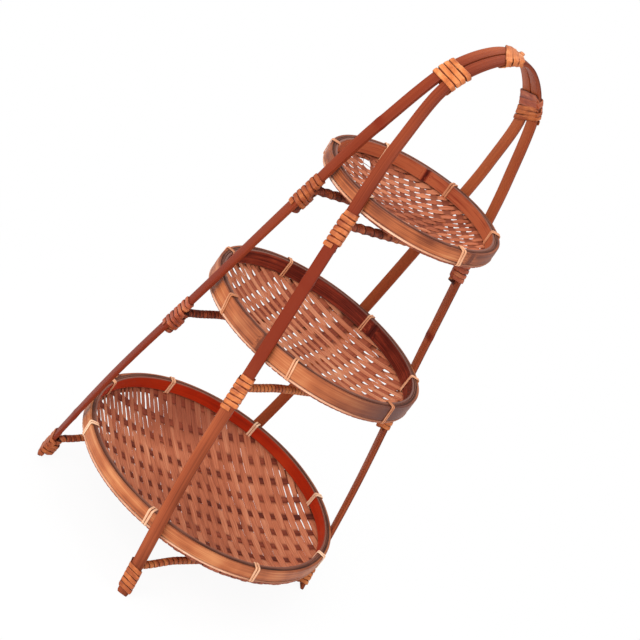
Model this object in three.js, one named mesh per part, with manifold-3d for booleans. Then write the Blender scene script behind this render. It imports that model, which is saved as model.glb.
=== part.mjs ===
// Three-tier tray stand of bamboo, rattan and split cane, in millimetres, +Z up.
// The origin is on the floor, midway between the four feet.
// X runs across each hoop and Y from the front hoop to the back hoop.
import * as THREE from "three";
import { mergeVertices } from "three/addons/utils/BufferGeometryUtils.js";
import Module from "manifold-3d";

const wasm = await Module();
wasm.setup();

// Clearance between pieces that touch on the real stand
const FIT = 0.3;

// The two hoops, each one flat bamboo strip bent into a tall arch
const STRIP_WIDTH = 11.5;
const STRIP_THICKNESS = 3.6;
const STRIP_CHAMFER = 0.7;
const HOOP_TOP = 575;
const FOOT_SPREAD_X = 248.6;
const FOOT_SPREAD_Y = 182.4;
const LOWER_HEIGHT = 126;
const LOWER_SPREAD_X = 242.4;
const MIDDLE_HEIGHT = 252;
const MIDDLE_SPREAD_X = 215.8;
const UPPER_HEIGHT = 378;
const UPPER_SPREAD_X = 189.2;
const SHOULDER_HEIGHT = 470;
const SHOULDER_SPREAD_X = 166;
const HAUNCH_DROP = 35.6;
const HAUNCH_SPREAD_X = 119;
const BACK_HOOP_BULGE = 2;
const HANDLE_LEAN = 2;

// The fork, where the two strips part below the handle
const FORK_HEIGHT = 521.5;
const FORK_EASE = 14;
const HANDLE_GAP = 1.1;
const LEG_BOW_Y = 2;

// Crossbars of round rattan, bent down at both ends along the legs
const BAR_DIAMETER = 6.6;
const BAR_BEND_RADIUS = 5;
const BAR_TAIL = 28;
const LOWER_BAR_HEIGHT = 34;
const MIDDLE_BAR_HEIGHT = 224.2;
const UPPER_BAR_HEIGHT = 387.2;
const BAR_SIDES = 8;
const BAR_BEND_STEPS = 4;

// Flat cane that binds the bars to the legs and the strips to each other
const CANE_THICKNESS = 1.1;
const LEG_CANE_WIDTH = 4.3;
const LEG_CANE_PITCH = 4.9;
const LEG_FULL_TURNS = 4;
const LEG_CANE_SLANT = 0.3;
const HANDLE_CANE_WIDTH = 5.4;
const HANDLE_CANE_PITCH = 6.3;
const HANDLE_CANE_SLANT = 0.2;
const SIDE_LASHING_TURNS = 4;
const SIDE_LASHING_LEFT = 73;
const SIDE_LASHING_RIGHT = 75;
const TOP_LASHING_TURNS = 2;
const TOP_LASHING_LEFT = 5;

// The rims: bands of split bamboo on both sides of the mat's edge
const OUTER_BAND_THICKNESS = 2.6;
const INNER_BAND_THICKNESS = 2.4;
const MAT_THICKNESS = 2;
const FILLER_HEIGHT = 2.4;
const FILLER_PROUD = 0.6;
const REED_DIAMETER = 2;
const MAT_DROP = 1.2;
const BOWL_POWER = 2.8;

// The ties: two strands of thin cane round the rim
const TIE_WIDTH = 2;
const TIE_THICKNESS = 1;
const TIE_PITCH = 2.5;
const TIE_FULL_TURNS = 2;
const TIE_EASE = 0.15;
const TIE_CORNER = 0.5;
const SLOT_MARGIN = 0.5;
const LEG_GAP = TIE_THICKNESS + 3 * FIT;
const SEAT_STEPS = 12;

// The trays: each diameter is the round rim's, before the legs press it oval
const LOWER_TRAY_DIAMETER = 280;
const LOWER_OUTER_BAND = 15;
const LOWER_INNER_BAND = 14;
const LOWER_TRAY_DEPTH = 48;
const MIDDLE_TRAY_DIAMETER = 228;
const MIDDLE_OUTER_BAND = 17.6;
const MIDDLE_INNER_BAND = 16.4;
const MIDDLE_TRAY_DEPTH = 43;
const UPPER_TRAY_DIAMETER = 179;
const UPPER_OUTER_BAND = 14.4;
const UPPER_INNER_BAND = 13.6;
const UPPER_TRAY_DEPTH = 33;
const UPPER_TRAY_TILT = 5.4;
const TRAYS = [
  {
    name: "lower",
    barHeight: LOWER_BAR_HEIGHT,
    diameter: LOWER_TRAY_DIAMETER,
    outerBand: LOWER_OUTER_BAND,
    innerBand: LOWER_INNER_BAND,
    depth: LOWER_TRAY_DEPTH,
    tilt: 0,
    tieBearings: [32, 78, 118, 158, 207, 255, 300, 345],
    segments: 44,
  },
  {
    name: "middle",
    barHeight: MIDDLE_BAR_HEIGHT,
    diameter: MIDDLE_TRAY_DIAMETER,
    outerBand: MIDDLE_OUTER_BAND,
    innerBand: MIDDLE_INNER_BAND,
    depth: MIDDLE_TRAY_DEPTH,
    tilt: 0,
    tieBearings: [15, 69, 120, 171, 216, 273, 324],
    segments: 40,
  },
  {
    name: "upper",
    barHeight: UPPER_BAR_HEIGHT,
    diameter: UPPER_TRAY_DIAMETER,
    outerBand: UPPER_OUTER_BAND,
    innerBand: UPPER_INNER_BAND,
    depth: UPPER_TRAY_DEPTH,
    tilt: UPPER_TRAY_TILT,
    tieBearings: [19, 70, 130, 195, 261, 324],
    segments: 36,
  },
];

// Finishes, seen in the photograph
const STAINED_BAMBOO = { color: 0x96452a, roughness: 0.42, metalness: 0 };
const DARK_RATTAN = { color: 0x6b2a1c, roughness: 0.6, metalness: 0 };
const GOLDEN_CANE = { color: 0xe08a48, roughness: 0.5, metalness: 0 };
const GOLDEN_BAND = { color: 0xc98048, roughness: 0.5, metalness: 0 };
const RED_BAND = { color: 0x8a2312, roughness: 0.4, metalness: 0 };
const WOVEN_STRIP = { color: 0xb5654a, roughness: 0.65, metalness: 0 };
const BROWN_FILLER = { color: 0x6e4030, roughness: 0.6, metalness: 0 };
const PALE_CANE = { color: 0xe8b080, roughness: 0.55, metalness: 0 };

const HOOPS = [
  { name: "front", side: -1, bulge: 0 },
  { name: "back", side: 1, bulge: BACK_HOOP_BULGE },
];
const LEGS = [
  { name: "left", side: -1 },
  { name: "right", side: 1 },
];
const UP = new THREE.Vector3(0, 0, 1);
const HANDLE_PITCH = STRIP_WIDTH + HANDLE_GAP;
const BAR_RADIUS = BAR_DIAMETER / 2;

// Geometry helpers

function positionsOnly(geometry) {
  geometry.deleteAttribute("normal");
  geometry.deleteAttribute("uv");
  return mergeVertices(geometry, 1e-4);
}

// A closed body through rings of points, capped at both ends.
// Each ring runs anticlockwise as seen from ahead of the body.
function loft(rings) {
  const sides = rings[0].length;
  const last = (rings.length - 1) * sides;
  const index = [];
  for (let ring = 0; ring < last; ring += sides) {
    for (let side = 0; side < sides; side += 1) {
      const next = (side + 1) % sides;
      index.push(ring + side, ring + next, ring + sides + next);
      index.push(ring + side, ring + sides + next, ring + sides + side);
    }
  }
  for (let side = 1; side + 1 < sides; side += 1) {
    index.push(0, side + 1, side);
    index.push(last, last + side, last + side + 1);
  }
  const geometry = new THREE.BufferGeometry().setFromPoints(rings.flat());
  geometry.setIndex(index);
  geometry.computeVertexNormals();
  return geometry;
}

// A body of revolution about Z, from a profile of [radius, height] points.
function revolve(profile, segments) {
  const points = profile.map(([radius, height]) => new THREE.Vector2(radius, height));
  return positionsOnly(new THREE.LatheGeometry(points, segments).rotateX(Math.PI / 2));
}

// A ring with a rectangular section.
function bandRing(innerRadius, outerRadius, low, high, segments) {
  const profile = [
    [innerRadius, low],
    [outerRadius, low],
    [outerRadius, high],
    [innerRadius, high],
    [innerRadius, low],
  ];
  return revolve(profile, segments);
}

function solidOf(geometry) {
  return new wasm.Manifold(
    new wasm.Mesh({
      numProp: 3,
      vertProperties: new Float32Array(geometry.attributes.position.array),
      triVerts: new Uint32Array(geometry.index.array),
    }),
  );
}

function geometryOf(solid) {
  const mesh = solid.getMesh();
  const geometry = new THREE.BufferGeometry();
  geometry.setAttribute("position", new THREE.BufferAttribute(mesh.vertProperties, mesh.numProp));
  geometry.setIndex(new THREE.BufferAttribute(mesh.triVerts, 1));
  geometry.computeVertexNormals();
  return geometry;
}

function addMesh(group, name, geometry, finish) {
  const mesh = new THREE.Mesh(geometry, new THREE.MeshStandardMaterial(finish));
  mesh.name = name;
  group.add(mesh);
}

// The hoops' shared outline in the XZ plane, from the left foot over the handle to the right foot
const HOOP_STATIONS = [
  [FOOT_SPREAD_X / 2, 0],
  [LOWER_SPREAD_X / 2, LOWER_HEIGHT],
  [MIDDLE_SPREAD_X / 2, MIDDLE_HEIGHT],
  [UPPER_SPREAD_X / 2, UPPER_HEIGHT],
  [SHOULDER_SPREAD_X / 2, SHOULDER_HEIGHT],
  [HAUNCH_SPREAD_X / 2, HOOP_TOP - HAUNCH_DROP],
];
const OUTLINE = new THREE.CatmullRomCurve3(
  [
    ...HOOP_STATIONS.map(([x, z]) => new THREE.Vector3(-x, 0, z)),
    new THREE.Vector3(0, 0, HOOP_TOP - STRIP_THICKNESS / 2),
    ...HOOP_STATIONS.map(([x, z]) => new THREE.Vector3(x, 0, z)).reverse(),
  ],
  false,
  "centripetal",
);
const LEG_SPANS = 4;
const OUTLINE_SPANS = 2 * HOOP_STATIONS.length;
const STEPS_PER_LEG_SPAN = 3;
const STEPS_PER_ARCH_SPAN = 9;

// Half the distance between the two hoops' centrelines at a height.
function halfDepth(height) {
  const drop = FORK_HEIGHT - height;
  const splay = (FOOT_SPREAD_Y - HANDLE_PITCH) / 2 / FORK_HEIGHT;
  const bow = LEG_BOW_Y * Math.sin(Math.PI * THREE.MathUtils.clamp(height / FORK_HEIGHT, 0, 1));
  return HANDLE_PITCH / 2 + (splay / 2) * (drop + Math.hypot(drop, FORK_EASE)) - bow;
}

function hoopPoint(hoop, t) {
  const point = OUTLINE.getPoint(THREE.MathUtils.clamp(t, 0, 1));
  const rise = THREE.MathUtils.clamp(point.z / SHOULDER_HEIGHT, 0, 1);
  point.x += Math.sign(point.x) * hoop.bulge * Math.sin(Math.PI * rise);
  point.x += HANDLE_LEAN * THREE.MathUtils.smoothstep(point.z, UPPER_HEIGHT, HOOP_TOP);
  point.y = hoop.side * halfDepth(point.z);
  return point;
}

// How far a strip has turned from square (0) to facing the stand's axis (1) at a height.
function facing(height) {
  return 1 - THREE.MathUtils.smoothstep(height, UPPER_HEIGHT, FORK_HEIGHT);
}

// A frame on a strip: along its length, across its width, and out of its outer face.
function hoopFrame(hoop, t) {
  const nearby = 1e-4;
  const origin = hoopPoint(hoop, t);
  const along = hoopPoint(hoop, t + nearby).sub(hoopPoint(hoop, t - nearby)).normalize();
  const turn = origin.y * facing(origin.z) * -Math.sign(origin.x);
  const across = new THREE.Vector3(turn, Math.max(Math.abs(origin.x), FIT), 0).normalize();
  across.addScaledVector(along, -across.dot(along)).normalize();
  const out = new THREE.Vector3().crossVectors(along, across);
  return { origin, along, across, out };
}

function placeOn(frame, across, out) {
  return frame.origin.clone().addScaledVector(frame.across, across).addScaledVector(frame.out, out);
}

// The corners of a rectangle with cut corners, anticlockwise from its right side.
function chamferedRectangle(width, height, cut) {
  const [x, y] = [width / 2, height / 2];
  return [
    [x, -y + cut],
    [x, y - cut],
    [x - cut, y],
    [-x + cut, y],
    [-x, y - cut],
    [-x, -y + cut],
    [-x + cut, -y],
    [x - cut, -y],
  ];
}

function stripBody(hoop) {
  const section = chamferedRectangle(STRIP_WIDTH, STRIP_THICKNESS, STRIP_CHAMFER);
  const places = [0];
  for (let span = 0; span < OUTLINE_SPANS; span += 1) {
    const onLeg = span < LEG_SPANS || span >= OUTLINE_SPANS - LEG_SPANS;
    const steps = onLeg ? STEPS_PER_LEG_SPAN : STEPS_PER_ARCH_SPAN;
    for (let step = 1; step <= steps; step += 1) {
      places.push((span + step / steps) / OUTLINE_SPANS);
    }
  }
  const rings = places.map((t) => {
    const frame = hoopFrame(hoop, t);
    return section.map(([across, out]) => placeOn(frame, across, out));
  });
  for (const t of [0, 1]) {
    const { along } = hoopFrame(hoop, t);
    const ring = rings[t * (rings.length - 1)];
    ring.forEach((point) => point.addScaledVector(along, -point.z / along.z));
  }
  return loft(rings);
}

// The place on the outline, as a share of its length in parameter, where a leg reaches a height.
function legPlace(leg, height) {
  let [low, high] = [0, 0.5];
  for (let halving = 0; halving < 40; halving += 1) {
    const middle = (low + high) / 2;
    if (OUTLINE.getPoint(middle).z < height) {
      low = middle;
    } else {
      high = middle;
    }
  }
  return leg.side < 0 ? low : 1 - low;
}

// A leg's frame at a height, with along pointing up the leg.
function legFrame(hoop, leg, height) {
  const frame = hoopFrame(hoop, legPlace(leg, height));
  if (leg.side > 0) {
    frame.along.negate();
    frame.across.negate();
  }
  return frame;
}

// The distance from a strip's centreline in to the centreline of the rod that lies against it
const ROD_SEAT = STRIP_THICKNESS / 2 + FIT + BAR_RADIUS;

function rodPoint(hoop, leg, height) {
  return placeOn(legFrame(hoop, leg, height), 0, -ROD_SEAT);
}

// The crossbar's centreline: up one leg, across, and down the other, with rounded corners.
function barCentreline(hoop, barHeight) {
  const corners = [
    rodPoint(hoop, LEGS[0], barHeight - BAR_TAIL),
    rodPoint(hoop, LEGS[0], barHeight),
    rodPoint(hoop, LEGS[1], barHeight),
    rodPoint(hoop, LEGS[1], barHeight - BAR_TAIL),
  ];
  const stations = [{ point: corners[0], along: corners[1].clone().sub(corners[0]).normalize() }];
  for (const corner of [1, 2]) {
    const before = corners[corner].clone().sub(corners[corner - 1]).normalize();
    const after = corners[corner + 1].clone().sub(corners[corner]).normalize();
    const turn = before.angleTo(after);
    const axis = new THREE.Vector3().crossVectors(before, after).normalize();
    const inward = new THREE.Vector3().crossVectors(axis, before);
    const start = corners[corner].clone().addScaledVector(before, -BAR_BEND_RADIUS * Math.tan(turn / 2));
    const centre = start.clone().addScaledVector(inward, BAR_BEND_RADIUS);
    for (let step = 0; step <= BAR_BEND_STEPS; step += 1) {
      const angle = (turn * step) / BAR_BEND_STEPS;
      const spoke = inward.clone().multiplyScalar(-BAR_BEND_RADIUS).applyAxisAngle(axis, angle);
      stations.push({ point: centre.clone().add(spoke), along: before.clone().applyAxisAngle(axis, angle) });
    }
  }
  stations.push({ point: corners[3], along: corners[3].clone().sub(corners[2]).normalize() });
  return stations;
}

function barBody(hoop, barHeight) {
  const stations = barCentreline(hoop, barHeight);
  const across = stations[BAR_BEND_STEPS + 2].along;
  const plane = new THREE.Vector3().crossVectors(stations[0].along, across).normalize();
  const rings = stations.map(({ point, along }) => {
    const second = new THREE.Vector3().crossVectors(along, plane);
    return Array.from({ length: BAR_SIDES }, (_, side) => {
      const angle = (2 * Math.PI * (side + 0.5)) / BAR_SIDES;
      return point
        .clone()
        .addScaledVector(plane, BAR_RADIUS * Math.cos(angle))
        .addScaledVector(second, BAR_RADIUS * Math.sin(angle));
    });
  });
  return loft(rings);
}

// An outline's corner moved out by a distance, square to both of its sides.
function offsetCorner(outline, corner, distance) {
  const at = (k) => new THREE.Vector2(...outline[(k + outline.length) % outline.length]);
  const before = at(corner).sub(at(corner - 1)).normalize();
  const after = at(corner + 1).sub(at(corner)).normalize();
  const bisector = new THREE.Vector2(before.y + after.y, -before.x - after.x).normalize();
  const mitre = distance / new THREE.Vector2(before.y, -before.x).dot(bisector);
  return at(corner).addScaledVector(bisector, mitre);
}

let leastGap = Infinity;

// One unbroken flat cane wound round a convex outline.
// frameAt gives the frame at a distance along the winding.
function windingBody({ outline, firstCorner, steps, width, thickness, pitch, slant, frameAt }) {
  const corners = outline.length;
  const rings = [];
  for (let step = 0; step <= steps; step += 1) {
    const travel = (pitch * (step - steps / 2)) / corners;
    const inner = offsetCorner(outline, firstCorner + step, FIT);
    const outer = offsetCorner(outline, firstCorner + step, FIT + thickness);
    const place = (corner, edge) => {
      const distance = travel + (edge * width) / 2 + slant * corner.y;
      return placeOn(frameAt(distance), corner.x, corner.y);
    };
    rings.push([place(outer, 1), place(outer, -1), place(inner, -1), place(inner, 1)]);
  }
  for (let ring = 0; ring + corners - 1 < rings.length; ring += 1) {
    for (const other of rings.slice(ring + corners - 1)) {
      for (const point of rings[ring]) {
        leastGap = Math.min(leastGap, ...other.map((near) => near.distanceTo(point)));
      }
    }
  }
  return loft(rings);
}

// The outline that a leg lashing goes round: the strip's outer face and the rod inside it
const ROD_FLAT = 0.7 * BAR_RADIUS;
const LEG_OUTLINE = [
  [STRIP_WIDTH / 2, -STRIP_THICKNESS / 2],
  [STRIP_WIDTH / 2, STRIP_THICKNESS / 2 - STRIP_CHAMFER],
  [STRIP_WIDTH / 2 - STRIP_CHAMFER, STRIP_THICKNESS / 2],
  [-STRIP_WIDTH / 2 + STRIP_CHAMFER, STRIP_THICKNESS / 2],
  [-STRIP_WIDTH / 2, STRIP_THICKNESS / 2 - STRIP_CHAMFER],
  [-STRIP_WIDTH / 2, -STRIP_THICKNESS / 2],
  [-ROD_FLAT, -ROD_SEAT - BAR_RADIUS],
  [ROD_FLAT, -ROD_SEAT - BAR_RADIUS],
];
const LEG_LASHING_STEPS = LEG_OUTLINE.length * LEG_FULL_TURNS - 1;
const LEG_LASHING_LENGTH = (LEG_CANE_PITCH * LEG_LASHING_STEPS) / LEG_OUTLINE.length + LEG_CANE_WIDTH;

function legLashing(hoop, leg, barHeight) {
  const slope = legFrame(hoop, leg, barHeight).along.z;
  const highest = barHeight - BAR_BEND_RADIUS - 2 * FIT;
  const middle = highest - (LEG_LASHING_LENGTH / 2) * slope;
  const straight = legFrame(hoop, leg, middle);
  return windingBody({
    outline: LEG_OUTLINE,
    firstCorner: 7,
    steps: LEG_LASHING_STEPS,
    width: LEG_CANE_WIDTH,
    thickness: CANE_THICKNESS,
    pitch: LEG_CANE_PITCH,
    slant: LEG_CANE_SLANT,
    frameAt: (distance) => ({
      ...straight,
      origin: legFrame(hoop, leg, middle + distance * straight.along.z).origin,
    }),
  });
}

// The handle's frame at a distance along its centreline from the top, positive to the right.
const HANDLE = { side: 0, bulge: 0 };
const OUTLINE_LENGTH = OUTLINE.getLength();

function handleFrame(distance) {
  return hoopFrame(HANDLE, OUTLINE.getUtoTmapping(0.5 + distance / OUTLINE_LENGTH));
}

function handleLashing(centre, turns) {
  const reach = (HANDLE_CANE_PITCH * turns + HANDLE_CANE_WIDTH) / 2;
  const lowest = handleFrame(Math.abs(centre) + reach).origin.z;
  const width = 2 * halfDepth(Math.min(lowest, HOOP_TOP)) + STRIP_WIDTH;
  const outline = chamferedRectangle(width, STRIP_THICKNESS, STRIP_CHAMFER);
  return windingBody({
    outline,
    firstCorner: 6,
    steps: outline.length * turns + 1,
    width: HANDLE_CANE_WIDTH,
    thickness: CANE_THICKNESS,
    pitch: HANDLE_CANE_PITCH,
    slant: HANDLE_CANE_SLANT,
    frameAt: (distance) => handleFrame(centre + distance),
  });
}

// The rim's radii and heights, measured in and down from the rim's outer top edge
const MAT_OUT = OUTER_BAND_THICKNESS + FIT;
const MAT_IN = MAT_OUT + MAT_THICKNESS;
const INNER_BAND_OUT = MAT_IN + FIT;
const RIM_WIDTH = INNER_BAND_OUT + INNER_BAND_THICKNESS;
const BOWL_STEPS = 6;

// How deep the mat's underside lies below the rim at a radius.
function bowlDepth(tray, radius) {
  const edge = tray.innerBand + MAT_DROP;
  const share = radius / (tray.diameter / 2 - MAT_OUT);
  return tray.depth - (tray.depth - edge) * share ** BOWL_POWER;
}

function matBody(tray) {
  const edge = tray.diameter / 2 - MAT_OUT;
  const steps = Array.from({ length: BOWL_STEPS + 1 }, (_, step) => step / BOWL_STEPS);
  const under = steps.map((share) => [edge * share, -bowlDepth(tray, edge * share)]);
  const wallInside = edge - MAT_THICKNESS;
  const over = steps.map((share) => {
    const radius = wallInside * share;
    const slope = (bowlDepth(tray, radius) - bowlDepth(tray, radius + FIT)) / FIT;
    return [radius, -bowlDepth(tray, radius) + MAT_THICKNESS * Math.hypot(1, slope)];
  });
  const lip = -FILLER_HEIGHT - FIT;
  const profile = [...under, [edge, lip], [wallInside, lip], ...over.reverse()];
  let mat = solidOf(revolve(profile, tray.segments));
  for (const bearing of tray.tieBearings) {
    mat = mat.subtract(solidOf(tieSlot(tray, bearing)));
  }
  return geometryOf(mat);
}

// The lowest level that a tie passes under, below the reed.
function tieLevel(tray) {
  return -tray.outerBand - FIT - REED_DIAMETER;
}

// The radius of the rim's inside that a tie has to clear, at the middle of a facet.
function rimInside(tray) {
  return (tray.diameter / 2 - RIM_WIDTH) * Math.cos(Math.PI / tray.segments);
}

// The gap between the mat's strips that a tie's inner runs pass through.
function tieSlot(tray, bearing) {
  const inner = rimInside(tray) - TIE_EASE - FIT - TIE_THICKNESS - SLOT_MARGIN;
  const outer = tray.diameter / 2 - INNER_BAND_OUT;
  const low = tieLevel(tray) - FIT - TIE_THICKNESS - 2 * MAT_THICKNESS;
  const high = -tray.innerBand + SLOT_MARGIN;
  const width = TIE_PITCH * TIE_FULL_TURNS + TIE_WIDTH;
  const slot = new THREE.BoxGeometry(outer - inner, width, high - low);
  slot.translate((inner + outer) / 2, 0, (low + high) / 2);
  slot.rotateZ(THREE.MathUtils.degToRad(bearing));
  return positionsOnly(slot);
}

function tieBody(tray, bearing) {
  const [inner, outer] = [rimInside(tray), tray.diameter / 2];
  const height = FILLER_PROUD - tieLevel(tray);
  const outline = chamferedRectangle(outer - inner + 2 * TIE_EASE, height + 2 * TIE_EASE, TIE_CORNER);
  const outward = new THREE.Vector3(1, 0, 0).applyAxisAngle(UP, THREE.MathUtils.degToRad(bearing));
  const along = new THREE.Vector3().crossVectors(outward, UP);
  const middle = outward
    .clone()
    .multiplyScalar((inner + outer) / 2)
    .addScaledVector(UP, (FILLER_PROUD + tieLevel(tray)) / 2);
  return windingBody({
    outline,
    firstCorner: 6,
    steps: outline.length * TIE_FULL_TURNS + 1,
    width: TIE_WIDTH,
    thickness: TIE_THICKNESS,
    pitch: TIE_PITCH,
    slant: 0,
    frameAt: (distance) => ({
      origin: middle.clone().addScaledVector(along, distance),
      across: outward,
      out: UP,
    }),
  });
}

// A reed is a thin round rod bent into a ring under the outer band.
function reedBody(tray) {
  const middle = tray.diameter / 2 - OUTER_BAND_THICKNESS / 2;
  const level = tieLevel(tray) + REED_DIAMETER / 2;
  const sides = 4;
  const profile = Array.from({ length: sides + 1 }, (_, side) => {
    const angle = (2 * Math.PI * (side % sides)) / sides;
    return [middle + (REED_DIAMETER / 2) * Math.cos(angle), level + (REED_DIAMETER / 2) * Math.sin(angle)];
  });
  return revolve(profile, tray.segments);
}

// The distance from the stand's axis to the inner face of the nearer leg at a height.
function legReach(height) {
  const distances = HOOPS.map((hoop) => {
    const { origin } = legFrame(hoop, LEGS[1], height);
    return Math.hypot(origin.x, origin.y) - STRIP_THICKNESS / 2;
  });
  return Math.min(...distances);
}

// How high a tray's rim stands when its woven bottom rests on the pair of crossbars.
function rimHeight(tray, place) {
  const start = tray.barHeight + BAR_RADIUS + tray.depth + place.rise;
  const turned = new THREE.Matrix4().compose(
    new THREE.Vector3(0, 0, start),
    new THREE.Quaternion().setFromEuler(place.rotation),
    place.scale,
  );
  const mat = solidOf(matBody(tray).applyMatrix4(turned));
  const bars = HOOPS.map((hoop) => solidOf(barBody(hoop, tray.barHeight)));
  let fall = 0;
  for (let step = 0; step < SEAT_STEPS; step += 1) {
    const lowered = mat.translate([0, 0, -fall]);
    fall += Math.min(...bars.map((bar) => lowered.minGap(bar, start))) - FIT;
  }
  return start - fall;
}

// A tray's place between the legs: pressed oval where it is wider than they are apart.
function placeTray(tray) {
  const radius = tray.diameter / 2;
  const tilt = THREE.MathUtils.degToRad(tray.tilt);
  const rise = radius * Math.sin(tilt);
  const place = { rise, scale: new THREE.Vector3(1, 1, 1), rotation: new THREE.Euler(0, -tilt, 0) };
  const level = rimHeight(tray, place);
  const [highReach, lowReach] = [legReach(level + rise), legReach(level - rise)];
  const { origin } = legFrame(HOOPS[0], LEGS[1], level);
  const bearing = Math.atan2(Math.abs(origin.y), origin.x);
  const squeeze = Math.max(0, (radius + LEG_GAP - (highReach + lowReach) / 2) / Math.cos(2 * bearing));
  place.scale.set((radius - squeeze) / radius, (radius + squeeze) / radius, 1);
  place.position = new THREE.Vector3((highReach - lowReach) / 2, 0, rimHeight(tray, place));
  return place;
}

function addTray(group, tray) {
  const radius = tray.diameter / 2;
  const place = placeTray(tray);
  const holder = new THREE.Group();
  holder.position.copy(place.position);
  holder.rotation.copy(place.rotation);
  holder.scale.copy(place.scale);
  const fillerIn = radius - MAT_IN;
  const fillerOut = radius - MAT_OUT;
  const bandIn = radius - RIM_WIDTH;
  const bandOut = radius - INNER_BAND_OUT;
  const outer = bandRing(radius - OUTER_BAND_THICKNESS, radius, -tray.outerBand, 0, tray.segments);
  const inner = bandRing(bandIn, bandOut, -tray.innerBand, 0, tray.segments);
  const filler = bandRing(fillerIn, fillerOut, -FILLER_HEIGHT, FILLER_PROUD, tray.segments);
  addMesh(holder, `${tray.name}_tray_woven_mat`, matBody(tray), WOVEN_STRIP);
  addMesh(holder, `${tray.name}_tray_outer_band`, outer, GOLDEN_BAND);
  addMesh(holder, `${tray.name}_tray_inner_band`, inner, RED_BAND);
  addMesh(holder, `${tray.name}_tray_rim_filler`, filler, BROWN_FILLER);
  addMesh(holder, `${tray.name}_tray_edge_reed`, reedBody(tray), PALE_CANE);
  tray.tieBearings.forEach((bearing, tie) => {
    addMesh(holder, `${tray.name}_tray_rim_tie_${tie + 1}`, tieBody(tray, bearing), PALE_CANE);
  });
  group.add(holder);
}

// The stand
const stand = new THREE.Group();
for (const hoop of HOOPS) {
  addMesh(stand, `${hoop.name}_hoop`, stripBody(hoop), STAINED_BAMBOO);
  for (const tray of TRAYS) {
    addMesh(stand, `${hoop.name}_${tray.name}_crossbar`, barBody(hoop, tray.barHeight), DARK_RATTAN);
    for (const leg of LEGS) {
      const name = `${hoop.name}_${leg.name}_${tray.name}_lashing`;
      addMesh(stand, name, legLashing(hoop, leg, tray.barHeight), GOLDEN_CANE);
    }
  }
}
addMesh(stand, "handle_left_lashing", handleLashing(-SIDE_LASHING_LEFT, SIDE_LASHING_TURNS), GOLDEN_CANE);
addMesh(stand, "handle_top_lashing", handleLashing(-TOP_LASHING_LEFT, TOP_LASHING_TURNS), GOLDEN_CANE);
addMesh(stand, "handle_right_lashing", handleLashing(SIDE_LASHING_RIGHT, SIDE_LASHING_TURNS), GOLDEN_CANE);
TRAYS.forEach((tray) => addTray(stand, tray));
console.log(`Least gap between the turns of one winding: ${leastGap.toFixed(2)} mm`);

export default stand;
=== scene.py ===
"""Looks of a three-tier stand: bent bamboo hoops, cane lashings and round woven trays.

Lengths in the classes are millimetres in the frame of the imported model, with +Z up.
"""

from __future__ import annotations

import logging
import math
from dataclasses import dataclass
from enum import Enum
from typing import Any, Callable, Sequence

import bmesh
import bpy
import numpy as np
from mathutils import Matrix, Vector

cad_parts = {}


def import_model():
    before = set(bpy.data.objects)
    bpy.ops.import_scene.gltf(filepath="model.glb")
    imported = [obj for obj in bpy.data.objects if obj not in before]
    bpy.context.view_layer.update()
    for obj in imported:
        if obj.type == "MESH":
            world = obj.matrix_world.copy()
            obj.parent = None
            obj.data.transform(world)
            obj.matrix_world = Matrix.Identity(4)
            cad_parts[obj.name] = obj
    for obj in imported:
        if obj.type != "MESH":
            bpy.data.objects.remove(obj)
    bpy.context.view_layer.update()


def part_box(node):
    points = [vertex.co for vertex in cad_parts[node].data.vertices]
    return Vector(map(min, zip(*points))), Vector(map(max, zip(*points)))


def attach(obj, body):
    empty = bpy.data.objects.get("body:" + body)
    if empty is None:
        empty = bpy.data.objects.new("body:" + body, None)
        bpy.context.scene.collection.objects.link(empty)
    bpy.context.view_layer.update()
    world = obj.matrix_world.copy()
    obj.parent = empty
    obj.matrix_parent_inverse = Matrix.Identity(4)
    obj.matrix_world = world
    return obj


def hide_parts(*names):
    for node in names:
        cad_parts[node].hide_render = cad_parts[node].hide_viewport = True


# Metres in a millimetre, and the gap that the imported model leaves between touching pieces.
MM = 0.001
FIT = 0.3
UP = np.array([0.0, 0.0, 1.0])
# The way in plan to the side of the mats that lies in their rims' shade.
FAR_SIDE = np.array([0.17, 0.985])
# The mesh layers that the materials read.
GRAIN = "Grain"
TONE = "tone"
# The last layer marks rubbed places, dark joints, stains and painted shade, all drawn in the worn
# colour.
WEAR_AND_SHADE = "wear"
# A streak's length and width over a fibre's, and how far apart two tones lie in each noise.
STREAK_LENGTH, STREAK_WIDTH = 3.2, 4.5
FIBRE_LAYERS, STREAK_LAYERS = 53.0, 31.0
# Distance between the rings of a band's or a reed's mesh, and points on a turn of wrapping.
RING_STEP = 3.0
TURN_POINTS = 14
# Angle in degrees above which an edge of a mesh stays sharp.
CREASE = 40
# Something that varies along a splint: takes places along it, gives a value at each.
Profile = Callable[[np.ndarray], np.ndarray]
log = logging.getLogger("stand")


class Slot(Enum):
    """The record's material slots."""

    HOOP = "stained_bamboo"
    BAR = "wrapped_rattan"
    LASHING = "golden_cane"
    OUTER_BAND = "golden_band"
    INNER_BAND = "red_band"
    MAT = "woven_bamboo"
    FILLER = "brown_filler"
    REED = "pale_reed"
    TIE = "pale_cane"


class Leg(Enum):
    """The two legs of a hoop, by the sign of X."""

    left = -1
    right = 1


class Tier(Enum):
    """The three tiers of the stand, from the floor up."""

    lower = 0
    middle = 1
    upper = 2


# Colour and nodes


def linear(code: str) -> tuple[float, float, float, float]:
    """Turns an sRGB hex colour to linear.

    Args:
        code: six hex digits.

    Returns:
        Linear red, green and blue, and an alpha of 1.
    """
    parts = [int(code[k : k + 2], 16) / 255 for k in (0, 2, 4)]
    red, green, blue = (p / 12.92 if p <= 0.04045 else ((p + 0.055) / 1.055) ** 2.4 for p in parts)
    return red, green, blue, 1.0


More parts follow.
